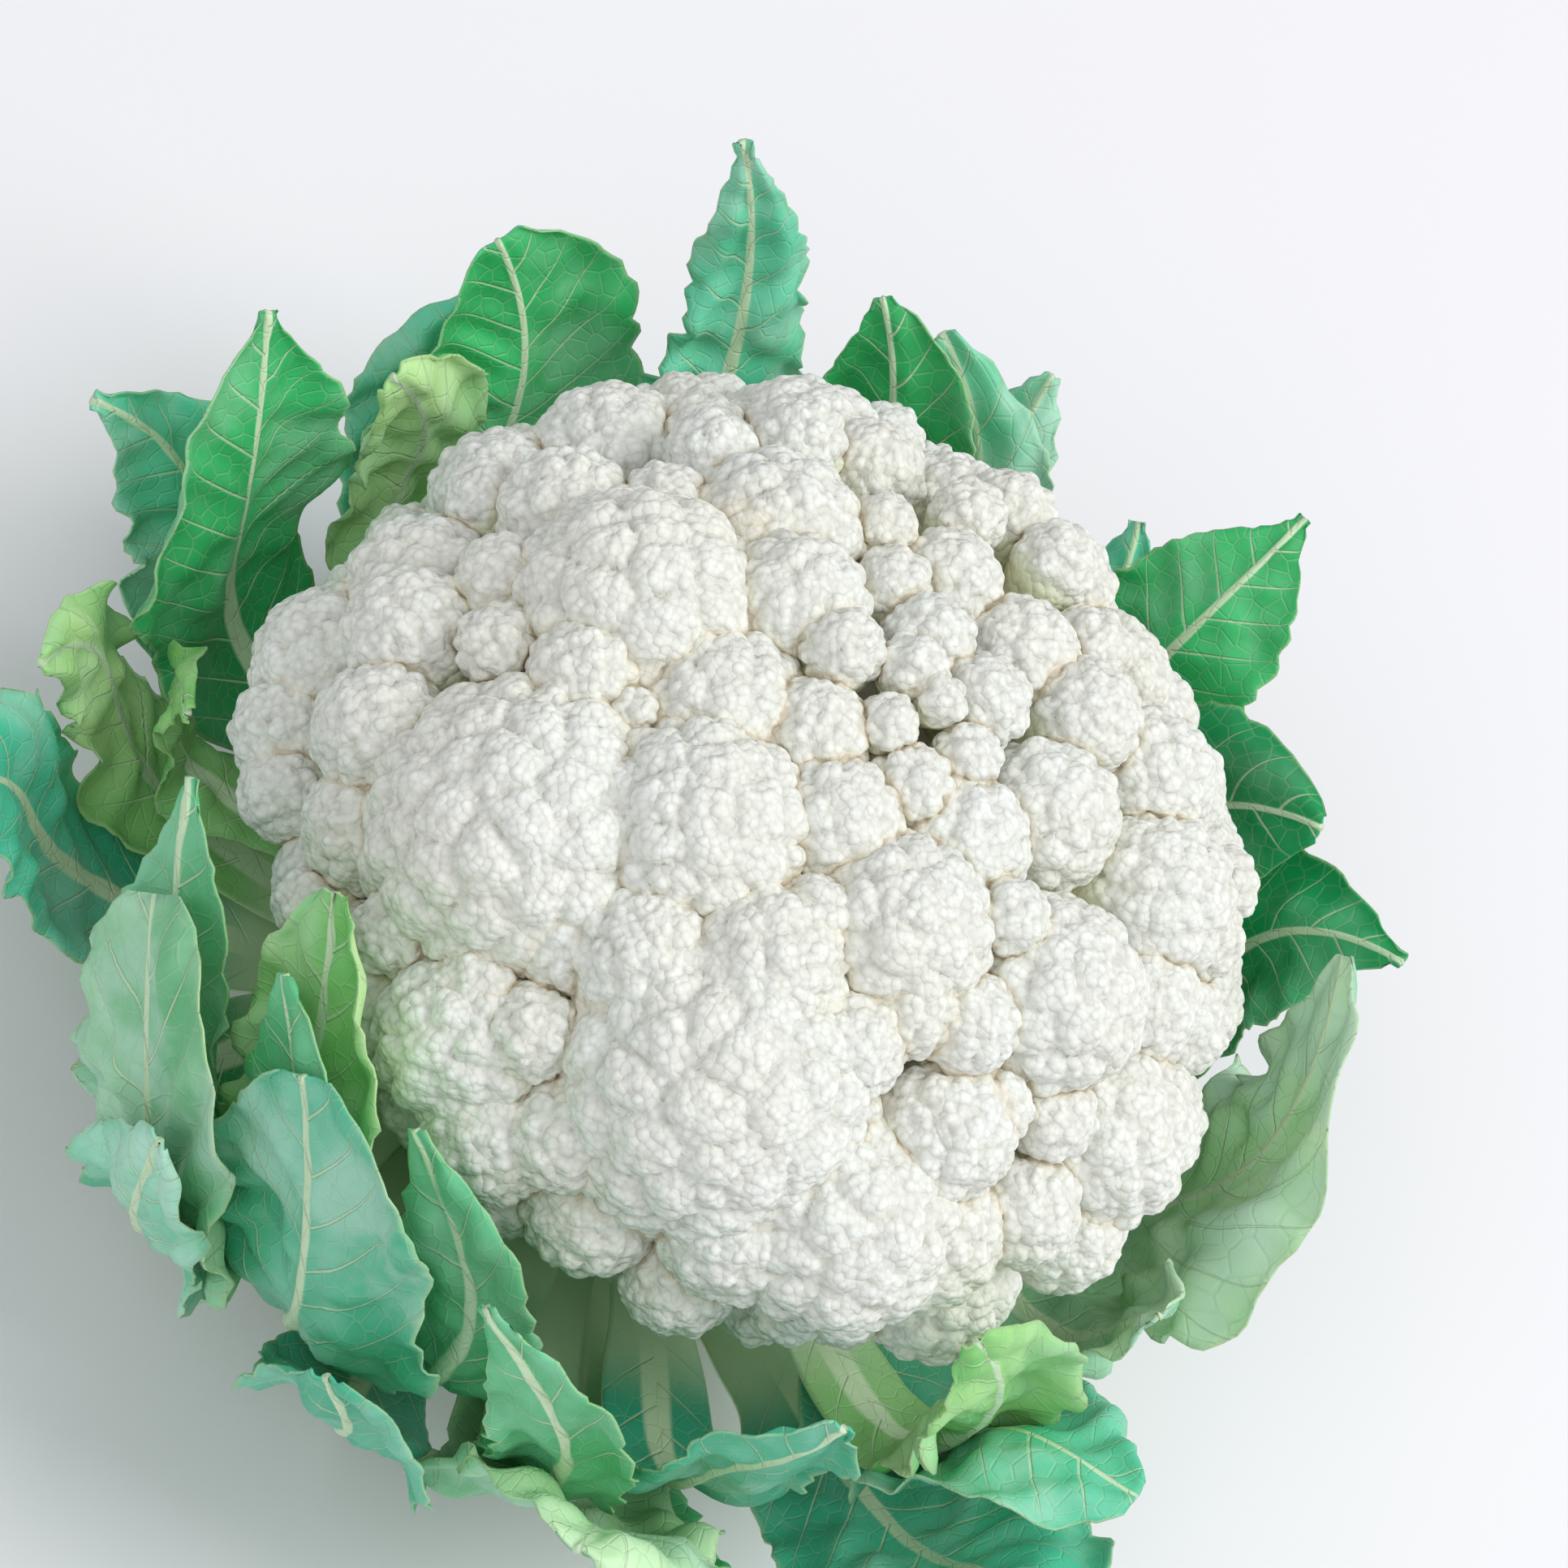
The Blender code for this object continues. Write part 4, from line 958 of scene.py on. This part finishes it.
class CAULIFLOWER_OT_stalk(bpy.types.Operator):
    """Builds the cut stalk with its slightly ribbed side"""

    bl_idname = "cauliflower.stalk"
    bl_label = "Build the stalk"

    def execute(self, context):
        sides = STALK_SIDES
        side_radius = STALK_RADIUS - STALK_INSET
        profile = [(9 * MM, 0.0), (STALK_RADIUS - STALK_CHAMFER, 0.0)]
        profile += [(STALK_RADIUS - 0.4 * MM, 0.5 * MM), (side_radius, STALK_CHAMFER)]
        for share in np.linspace(0.05, 1, STALK_ROWS):
            height = STALK_CHAMFER + (STALK_TOP - STALK_CHAMFER) * share
            neck = smooth((height - STALK_NECK_HEIGHT) / (STALK_TOP - STALK_NECK_HEIGHT))
            profile.append((side_radius - (STALK_RADIUS - STALK_NECK_RADIUS) * neck, height))
        turns = np.arange(sides) * 2 * math.pi / sides
        ribs = STALK_RIB_HEIGHT * (np.sin(9 * turns) + 0.6 * np.sin(14 * turns + 1)) - STALK_RIB_DEPTH
        rings = []
        for radius, height in profile:
            ring = radius + ribs * smooth(height / STALK_RIB_FADE)
            level = np.full(sides, height)
            rings.append(np.stack([ring * np.cos(turns), ring * np.sin(turns), level], axis=1))
        points = np.vstack([[[0, 0, 0]], *rings, [[0, 0, STALK_TOP]]])
        at = np.arange(1, sides + 1)
        after = np.roll(at, -1)
        faces = [np.stack([np.zeros(sides, int), after, at], axis=1)]
        for _ in range(len(rings) - 1):
            faces.append(np.stack([at, after, after + sides], axis=1))
            faces.append(np.stack([at, after + sides, at + sides], axis=1))
            at = at + sides
            after = after + sides
        faces.append(np.stack([at, after, np.full(sides, len(points) - 1)], axis=1))
        faces = np.vstack(faces)
        material = stalk_material(context.scene.cauliflower_stalk)
        new_piece("stalk_detailed", points, faces, material, ["stalk"])
        return {"FINISHED"}


def leaf_midline(leaf):
    """Radii and heights at even steps along the leaf's midrib, its length and its shoulder's share."""
    layer = LAYERS[leaf.layer]
    length = layer.run + layer.turn + leaf.reach
    along = np.arange(MIDLINE_STEPS + 1) * length / MIDLINE_STEPS
    turned = smooth((along - layer.run) / layer.turn)
    slope = layer.foot_slope + (layer.slope - layer.foot_slope) * turned
    beyond = np.clip((along - layer.run - layer.turn) / leaf.reach, 0, 1)
    slope = np.radians(slope + (leaf.slope - layer.slope) * beyond)
    radius = FOOT_RADIUS + np.concatenate([[0], np.cumsum(np.cos(slope[:-1]))]) * length / MIDLINE_STEPS
    height = layer.foot + np.concatenate([[0], np.cumsum(np.sin(slope[:-1]))]) * length / MIDLINE_STEPS
    return radius, height, length, (layer.run + layer.turn) / length


def leaf_half_width(leaf, s):
    """Half the leaf's width at the shares s of its length, before its edge lobes."""
    foot = max(PETIOLE_SMALLEST, leaf.width * PETIOLE_SHARE)
    neck = foot * PETIOLE_GROWTH
    stalked = foot + (neck - foot) * s / PETIOLE_END
    widening = neck + (leaf.width - neck) * smooth((s - PETIOLE_END) / (leaf.widest - PETIOLE_END))
    fall = np.clip((s - leaf.widest) / (1 - leaf.widest), 0, 1)
    closing = leaf.point + (leaf.width - leaf.point) * (1 - fall**OUTLINE_FULLNESS)
    closing = np.maximum(closing * np.sqrt(1 - TIP_ROUNDING * fall**TIP_ROUNDNESS), SMALLEST_TIP)
    return np.where(s < PETIOLE_END, stalked, np.where(s < leaf.widest, widening, closing))


def edge_lobes(leaf, s):
    """How much of its width the leaf keeps at the shares s of its length, between its lobes."""
    rows = WIDE_LEAF_ROWS if leaf.width > WIDE_LEAF else NARROW_LEAF_ROWS
    fade = smooth((s - PETIOLE_END) / EDGE_LOBE_FADE)
    return 1 - EDGE_LOBE_DEPTH * fade * (0.5 + 0.5 * np.cos(math.pi * rows * s))


def edge_teeth(length, depth, draw):
    """A saw-toothed line of cuts along one edge of a leaf, over the shares of its length."""
    places, cuts = [0.0, PETIOLE_END * length], [0.0, 0.0]
    while places[-1] < length:
        tooth = draw.uniform(TOOTH_SHORTEST, TOOTH_LONGEST)
        size = depth * draw.uniform(TOOTH_SMALLEST_SHARE, 1.0) * tooth / TOOTH_LONGEST
        places += [places[-1] + TOOTH_BACK_SHARE * tooth, places[-1] + tooth]
        cuts += [0.0, size]
    return np.array(places) / length, np.array(cuts)


def midline_frame(line_radius, line_height, s):
    """The midrib's radius and height at the shares s of its length, and its direction there."""
    shares = np.linspace(0, 1, len(line_radius))
    run = np.gradient(line_radius)
    rise = np.gradient(line_height)
    size = np.hypot(run, rise)
    return [np.interp(s, shares, line) for line in (line_radius, line_height, run / size, rise / size)]


def edge_waves(leaf, kind, s, w, half, blade, length, phase):
    """How far a leaf's edges stand off its even surface, by their waves, frills and curls."""
    ripple = np.sin(RIPPLES * s + RIPPLE_SLANT * w + leaf.blade)
    wave = leaf.wave * w**2 * half / leaf.width * smooth((s - WAVE_START) / BLADE_OPENING) * ripple
    frill = kind.ruffle * MM * np.abs(w) ** 3 * blade * half / leaf.width
    side_phase = np.where(w > 0, phase[0], phase[1])
    wander = FRILL_WANDER * np.sin(FRILL_WANDER_TURNS * s + phase[2])
    wave = wave + frill * np.sin(length / FRILL_LENGTH * s + side_phase + wander)
    curl = leaf.curl * smooth((np.abs(w) - CURL_START) / (1 - CURL_START)) ** 2 * half / leaf.width
    turns = CURL_EVEN + CURL_SWING * np.sin(CURL_RIPPLES * s + leaf.foot + np.where(w > 0, CURL_SHIFT, 0))
    return wave + curl * turns * smooth((s - WAVE_START) / BLADE_OPENING)


def crumples(aside, along, phase):
    """A crossed pattern of small bulges and dips, from -1 to 1."""
    lengthwise = 2.2 * np.sin(aside / CRUMPLE_LENGTH / 2.3 + phase[0])
    crosswise = 1.7 * np.sin(along / CRUMPLE_LENGTH / 1.9 + phase[2])
    crumple = np.sin(along / CRUMPLE_LENGTH + lengthwise + phase[1])
    return crumple * np.sin(aside / CRUMPLE_LENGTH / 1.15 + crosswise)


def leaf_sheet(name, leaf, kind, settings):
    """The leaf's two faces as grids of points, and the values that its material reads."""
    draw = np.random.default_rng(sum(ord(c) * (i + 3) for i, c in enumerate(name)))
    spacing = settings.mesh_spacing * 1.0
    line_radius, line_height, length, shoulder = leaf_midline(leaf)
    rows = int(length / spacing)
    columns = 2 * int(leaf.width / spacing * COLUMN_SHARE) + 1
    s = np.linspace(0, 1, rows + 1)[:, None]
    even = np.linspace(-1, 1, columns)
    w = (np.sign(even) * np.abs(even) ** COLUMN_CROWDING)[None, :]
    half = leaf_half_width(leaf, s)
    radius, height, run, rise = midline_frame(line_radius, line_height, s)

    beyond = np.clip((s - shoulder) / (1 - shoulder), 0, 1)
    azimuth = leaf.foot + (leaf.blade - leaf.foot) * smooth(s / shoulder)
    azimuth = azimuth + (leaf.tip - leaf.blade) * beyond**TIP_BEND
    sideways = math.radians(leaf.tip - leaf.blade) * TIP_BEND * beyond ** (TIP_BEND - 1) * radius
    lean = np.arctan2(sideways, leaf.reach)

    outer = smooth((np.abs(w) - LOBES_FROM) / (1 - LOBES_FROM))
    keep = 1 - (1 - edge_lobes(leaf, s)) * outer
    cut = np.zeros((rows + 1, columns))
    for side in (-1, 1):
        places, cuts = edge_teeth(length, settings.tooth_depth, draw)
        line = np.interp(s[:, 0], places, cuts)[:, None]
        cut += np.where(np.sign(w) == side, line * smooth((np.abs(w) - TEETH_FROM) / (1 - TEETH_FROM)), 0)
    blade = smooth((s - BLADE_START) / BLADE_RANGE)
    aside = w * np.maximum(half * keep - cut * blade, LEAST_HALF_WIDTH)

    phase = 7 * draw.random(4)
    wave = edge_waves(leaf, kind, s, w, half, blade, length, phase)
    folds = np.sin(FOLD_TURNS * s + 2 * w + phase[3]) * np.sin(FOLD_SIDE_TURNS * w + phase[2])
    wave = wave + FOLD_HEIGHT * blade * half / leaf.width * folds * np.minimum(leaf.width / WIDE_LEAF, 1)

    along = s * length + 0 * w
    crumpled = CRUMPLE_HEIGHT * kind.ruffle * crumples(aside, along, phase) * blade * half / leaf.width
    wave = wave + crumpled * smooth(np.abs(w) / CRUMPLES_FROM)
    slant = np.abs(aside) * (VEIN_SLANT + (1 - VEIN_SLANT) * np.abs(w))
    wander = VEIN_WANDER_ALONG * np.sin(along / VEIN_WANDER_ALONG_LENGTH + phase[1])
    wander = wander + VEIN_WANDER_ASIDE * np.sin(aside / VEIN_WANDER_ASIDE_LENGTH + phase[3])
    vein_phase = (along - slant) / settings.vein_spacing + wander + np.where(w > 0, 0.5, 0.0)
    pillow = np.cos(2 * math.pi * vein_phase) * PILLOW_HEIGHT * blade
    wave = wave + pillow * smooth(np.abs(w) / PILLOW_FROM) * (1 - np.abs(w) ** 4)

    twist = aside * math.tan(math.radians(leaf.twist)) * smooth((s - TWIST_START) / BLADE_OPENING)
    turn = np.radians(azimuth) + aside * np.cos(lean) / np.maximum(radius, FOOT_RADIUS)
    outward, drop = wave + twist, aside * np.sin(lean)
    radius, height = radius + outward * rise - drop * run, height - outward * run - drop * rise
    front = np.stack([radius * np.cos(turn), radius * np.sin(turn), height + 0 * w], axis=-1)

    ahead = np.gradient(front, axis=0)
    sideways = np.gradient(front, axis=1)
    normal = np.cross(sideways, ahead)
    normal /= np.linalg.norm(normal, axis=-1, keepdims=True)

    narrowing = (1 - smooth(s * 1.02)) ** 1.1
    rib_half = RIB_TIP_HALF_WIDTH + (RIB_FOOT_HALF_WIDTH - RIB_TIP_HALF_WIDTH) * narrowing
    rib_half = np.minimum(rib_half, half * 0.9)
    ridge = np.sqrt(np.maximum(1 - (aside / rib_half) ** 2, 0))
    petiole = 1 - smooth((s - PETIOLE_ROUND_UNTIL) / PETIOLE_FLATTENING)
    lowering = smooth(s / RIB_LENGTH_SHARE) ** RIB_THINNING
    tall = RIB_FOOT_THICKNESS + (RIB_TIP_THICKNESS - RIB_FOOT_THICKNESS) * lowering
    depth = tall * ((1 - petiole) * ridge + petiole * (1 - w**2))
    thin = settings.thickness * (1 - EDGE_THINNING * np.abs(w) ** 3 * blade)
    back = front + normal * (thin + depth)[..., None]
    front = front - normal * (RIB_RIDGE * ridge * blade)[..., None]
    values = {
        "across": aside * 1000,
        "along": along * 1000,
        "phase": vein_phase,
        "rim": np.abs(w) + 0 * s,
        "rib_half": rib_half * 1000 + 0 * w,
        "blade": smooth((s - BLADE_TINT_START) / BLADE_TINT_RANGE) + 0 * w,
    }
    return front, back, values


def leaf_piece(name, leaf, kind, settings, material):
    """One leaf with its two faces joined all round."""
    front, back, values = leaf_sheet(name, leaf, kind, settings)
    grid = np.arange(front[..., 0].size).reshape(front.shape[:2])
    a, b = grid[:-1, :-1].ravel(), grid[:-1, 1:].ravel()
    c, d = grid[1:, 1:].ravel(), grid[1:, :-1].ravel()
    count = grid.size
    faces = [np.stack([a, d, c, b], axis=1), np.stack([a, b, c, d], axis=1) + count]
    rim = np.concatenate([grid[:, 0], grid[-1, 1:], grid[-2::-1, -1], grid[0, -2:0:-1]])
    after = np.roll(rim, -1)
    faces.append(np.stack([rim, rim + count, after + count, after], axis=1))
    points = np.vstack([front.reshape(-1, 3), back.reshape(-1, 3)])
    both = {key: np.concatenate([array.ravel(), array.ravel()]) for key, array in values.items()}
    both["back"] = np.concatenate([np.zeros(count), np.ones(count)])
    new_piece(name + "_detailed", points, np.vstack(faces), material, [name], both)


def leaf_material(label, kind, settings):
    """One kind of leaf: greens that drift, wax, painted shade towards the foot, side veins and a net, a
    pale rib and a paler back.
    """
    made, tree, shader = new_material("leaf_" + label)
    place = place_of(tree)
    back = attribute_of(tree, "back")
    rim = attribute_of(tree, "rim")
    across_mm = attribute_of(tree, "across")
    grain = placed_group(
        tree, plant_grain_group(), {"Vector": place, "Grain scale": 1800.0, "Mottle scale": 45.0}
    )
    veins = placed_group(
        tree,
        leaf_veins_group(),
        {
            "Phase": attribute_of(tree, "phase"),
            "Across": across_mm,
            "Along": attribute_of(tree, "along"),
            "Rim": rim,
            "Spacing": settings.vein_spacing / MM,
            "Width": 0.36,
            "Net size": 3.0,
        },
    )
    blade = attribute_of(tree, "blade")
    ratio = sum_of(tree, "DIVIDE", sum_of(tree, "ABSOLUTE", across_mm), attribute_of(tree, "rib_half"))
    rib = step_of(tree, ratio, 0.75, 1.25, 1.0, 0.0)
    side = times(tree, veins.outputs["Side veins"], step_of(tree, blade, 0.0, 0.5))
    net = times(tree, veins.outputs["Net"], blade)

    mottle = grain.outputs["Mottle"]
    inner = mixed(tree, mottle, srgb(kind.inner), srgb(kind.inner_other))
    swollen = times(tree, veins.outputs["Pillow"], 0.25)
    inner = mixed(tree, swollen, inner, srgb(kind.inner_other))
    outer = mixed(tree, mottle, srgb(kind.back), srgb(kind.back_other))
    colour = mixed(tree, back, inner, outer)
    bloom = noise_of(tree, place, 38.0, 4.0, 0.62)
    wax = times(tree, step_of(tree, bloom, 0.44, 0.66), kind.wax)
    colour = mixed(tree, wax, colour, srgb("#C4E6D6"))
    # Painted shade: a darker green towards the leaf's foot, under the curd.
    deep = step_of(tree, attribute_of(tree, "along"), 68.0, 98.0, 0.55, 0.0)
    colour = mixed(tree, deep, colour, srgb(kind.deep))
    colour = mixed(tree, times(tree, net, 0.14), colour, srgb("#B7DBA6"))
    colour = mixed(tree, times(tree, side, 0.62), colour, tuple(settings.rib))
    colour = mixed(tree, step_of(tree, rim, 0.95, 1.0, 0.0, 0.45), colour, srgb("#BFD9A0"))
    stalked = step_of(tree, blade, 0.0, 0.9, 1.0, 0.0)
    pale = sum_of(tree, "MAXIMUM", rib, stalked)
    base = mixed(tree, times(tree, mottle, 0.4), tuple(settings.rib), srgb("#DDEBCB"))
    colour = mixed(tree, pale, colour, base)
    tree.links.new(colour, shader.inputs["Base Color"])

    rough = step_of(tree, bloom, 0.3, 0.7, 0.42, 0.6)
    tree.links.new(rough, shader.inputs["Roughness"])
    shader.inputs["Specular IOR Level"].default_value = 0.42
    sign = step_of(tree, back, 0.0, 1.0, -1.0, 1.0)
    raised = times(tree, sum_of(tree, "ADD", side, times(tree, net, 0.35)), sign)
    height = sum_of(tree, "ADD", raised, times(tree, grain.outputs["Grain"], 0.3))
    bump = add_node(tree, "ShaderNodeBump", {"Height": height, "Distance": 0.3 * MM, "Strength": 0.8})
    tree.links.new(bump.outputs[0], shader.inputs["Normal"])
    return made


class CAULIFLOWER_OT_leaves(bpy.types.Operator):
    """Builds the wrapper leaves, each with its ribs, veins and toothed, ruffled edges"""

    bl_idname = "cauliflower.leaves"
    bl_label = "Build the leaves"

    def execute(self, context):
        settings = context.scene.cauliflower_leaves
        materials = {label: leaf_material(label, kind, settings) for label, kind in KINDS.items()}
        for name, leaf in LEAVES.items():
            leaf_piece(name, leaf, KINDS[leaf.kind], settings, materials[leaf.kind])
        return {"FINISHED"}


FLOOR_HALF_SIZE = 6
LIGHTS = {
    # name: (place, size, power, colour)
    "key_light": ((1.5, 0.7, 2.4), 2.0, 56.0, (1.0, 0.995, 0.985)),
    "front_light": ((-0.5, -2.2, 2.4), 2.4, 27.0, (0.98, 0.99, 1.0)),
}
SKY_COLOUR = (0.95, 0.97, 1.0, 1.0)
SKY_STRENGTH = 0.48
SENSOR_WIDTH = 36
NEAREST_SEEN = 0.05


def area_light(name, place, aim, size, power, colour):
    """A square soft light."""
    data = bpy.data.lights.new(name, "AREA")
    data.energy = power
    data.size = size
    data.color = colour
    light = bpy.data.objects.new(name, data)
    bpy.context.scene.collection.objects.link(light)
    light.location = place
    light.rotation_euler = (Vector(aim) - Vector(place)).to_track_quat("-Z", "Y").to_euler()


class CAULIFLOWER_OT_stage(bpy.types.Operator):
    """Builds the plain floor, the soft lights and the camera"""

    bl_idname = "cauliflower.stage"
    bl_label = "Build the stage"

    def execute(self, context):
        settings = context.scene.cauliflower_stage
        self.floor(settings)
        self.lights(context)
        self.camera(context, settings)
        return {"FINISHED"}

    def floor(self, settings):
        made, _, shader = new_material("floor_plain")
        shader.inputs["Base Color"].default_value = tuple(settings.floor_colour)
        shader.inputs["Roughness"].default_value = 0.9
        shader.inputs["Specular IOR Level"].default_value = 0.1
        mesh = bpy.data.meshes.new("floor")
        signs = ((-1, -1), (1, -1), (1, 1), (-1, 1))
        corners = [(x * FLOOR_HALF_SIZE, y * FLOOR_HALF_SIZE, 0) for x, y in signs]
        mesh.from_pydata(corners, [], [(0, 1, 2, 3)])
        mesh.materials.append(made)
        floor = bpy.data.objects.new("floor", mesh)
        bpy.context.scene.collection.objects.link(floor)

    def lights(self, context):
        aim = (0, 0, RING_HEIGHT)
        for name, (place, size, power, colour) in LIGHTS.items():
            area_light(name, place, aim, size, power, colour)
        world = bpy.data.worlds.new("studio")
        world.use_nodes = True
        background = world.node_tree.nodes["Background"]
        background.inputs["Color"].default_value = SKY_COLOUR
        background.inputs["Strength"].default_value = SKY_STRENGTH
        context.scene.world = world
        context.scene.view_settings.view_transform = "Standard"

    def camera(self, context, settings):
        elevation, roll = settings.elevation, settings.roll
        middle = Vector((0, 0, RING_HEIGHT))
        towards = Vector((0, -math.cos(elevation), math.sin(elevation)))
        side = Vector((1, 0, 0))
        up = Vector((0, math.sin(elevation), math.cos(elevation)))
        picture_right = side * math.cos(roll) + up * math.sin(roll)
        picture_up = up * math.cos(roll) - side * math.sin(roll)
        placed = Matrix((picture_right, picture_up, towards)).transposed().to_4x4()
        placed.translation = middle + towards * settings.distance
        data = bpy.data.cameras.new("camera")
        data.sensor_width = SENSOR_WIDTH
        data.lens = SENSOR_WIDTH * settings.distance / (PICTURE_SIDE * PICTURE_SCALE)
        data.shift_x = 0.5 - PICTURE_CENTRE[0] / PICTURE_SIDE
        data.shift_y = PICTURE_CENTRE[1] / PICTURE_SIDE - 0.5
        data.clip_start = NEAREST_SEEN
        camera = bpy.data.objects.new("camera", data)
        camera.matrix_world = placed
        context.scene.collection.objects.link(camera)
        context.scene.camera = camera


class CAULIFLOWER_PT_panel(bpy.types.Panel):
    """Lists the steps and the values that they use"""

    bl_idname = "CAULIFLOWER_PT_panel"
    bl_label = "Cauliflower"
    bl_space_type = "VIEW_3D"
    bl_region_type = "UI"
    bl_category = "Cauliflower"

    def draw(self, context):
        for key in SETTINGS:
            settings = getattr(context.scene, "cauliflower_" + key)
            box = self.layout.box()
            box.operator("cauliflower." + key)
            for name in settings.__annotations__:
                box.prop(settings, name)


# What each step's settings are, by the step's name, in the order of the steps.
SETTINGS = {"stage": StageSettings, "curd": CurdSettings, "stalk": StalkSettings, "leaves": LeafSettings}
CLASSES = (
    *SETTINGS.values(),
    CAULIFLOWER_OT_curd,
    CAULIFLOWER_OT_stalk,
    CAULIFLOWER_OT_leaves,
    CAULIFLOWER_OT_stage,
    CAULIFLOWER_PT_panel,
)


def register():
    for each in CLASSES:
        bpy.utils.register_class(each)
    for key, settings in SETTINGS.items():
        setattr(bpy.types.Scene, "cauliflower_" + key, PointerProperty(type=settings))


def unregister():
    for key in SETTINGS:
        delattr(bpy.types.Scene, "cauliflower_" + key)
    for each in reversed(CLASSES):
        bpy.utils.unregister_class(each)


def main():
    register()
    bpy.ops.cauliflower.stage()
    bpy.ops.cauliflower.curd()
    bpy.ops.cauliflower.stalk()
    bpy.ops.cauliflower.leaves()


if __name__ == "__main__":
    main()
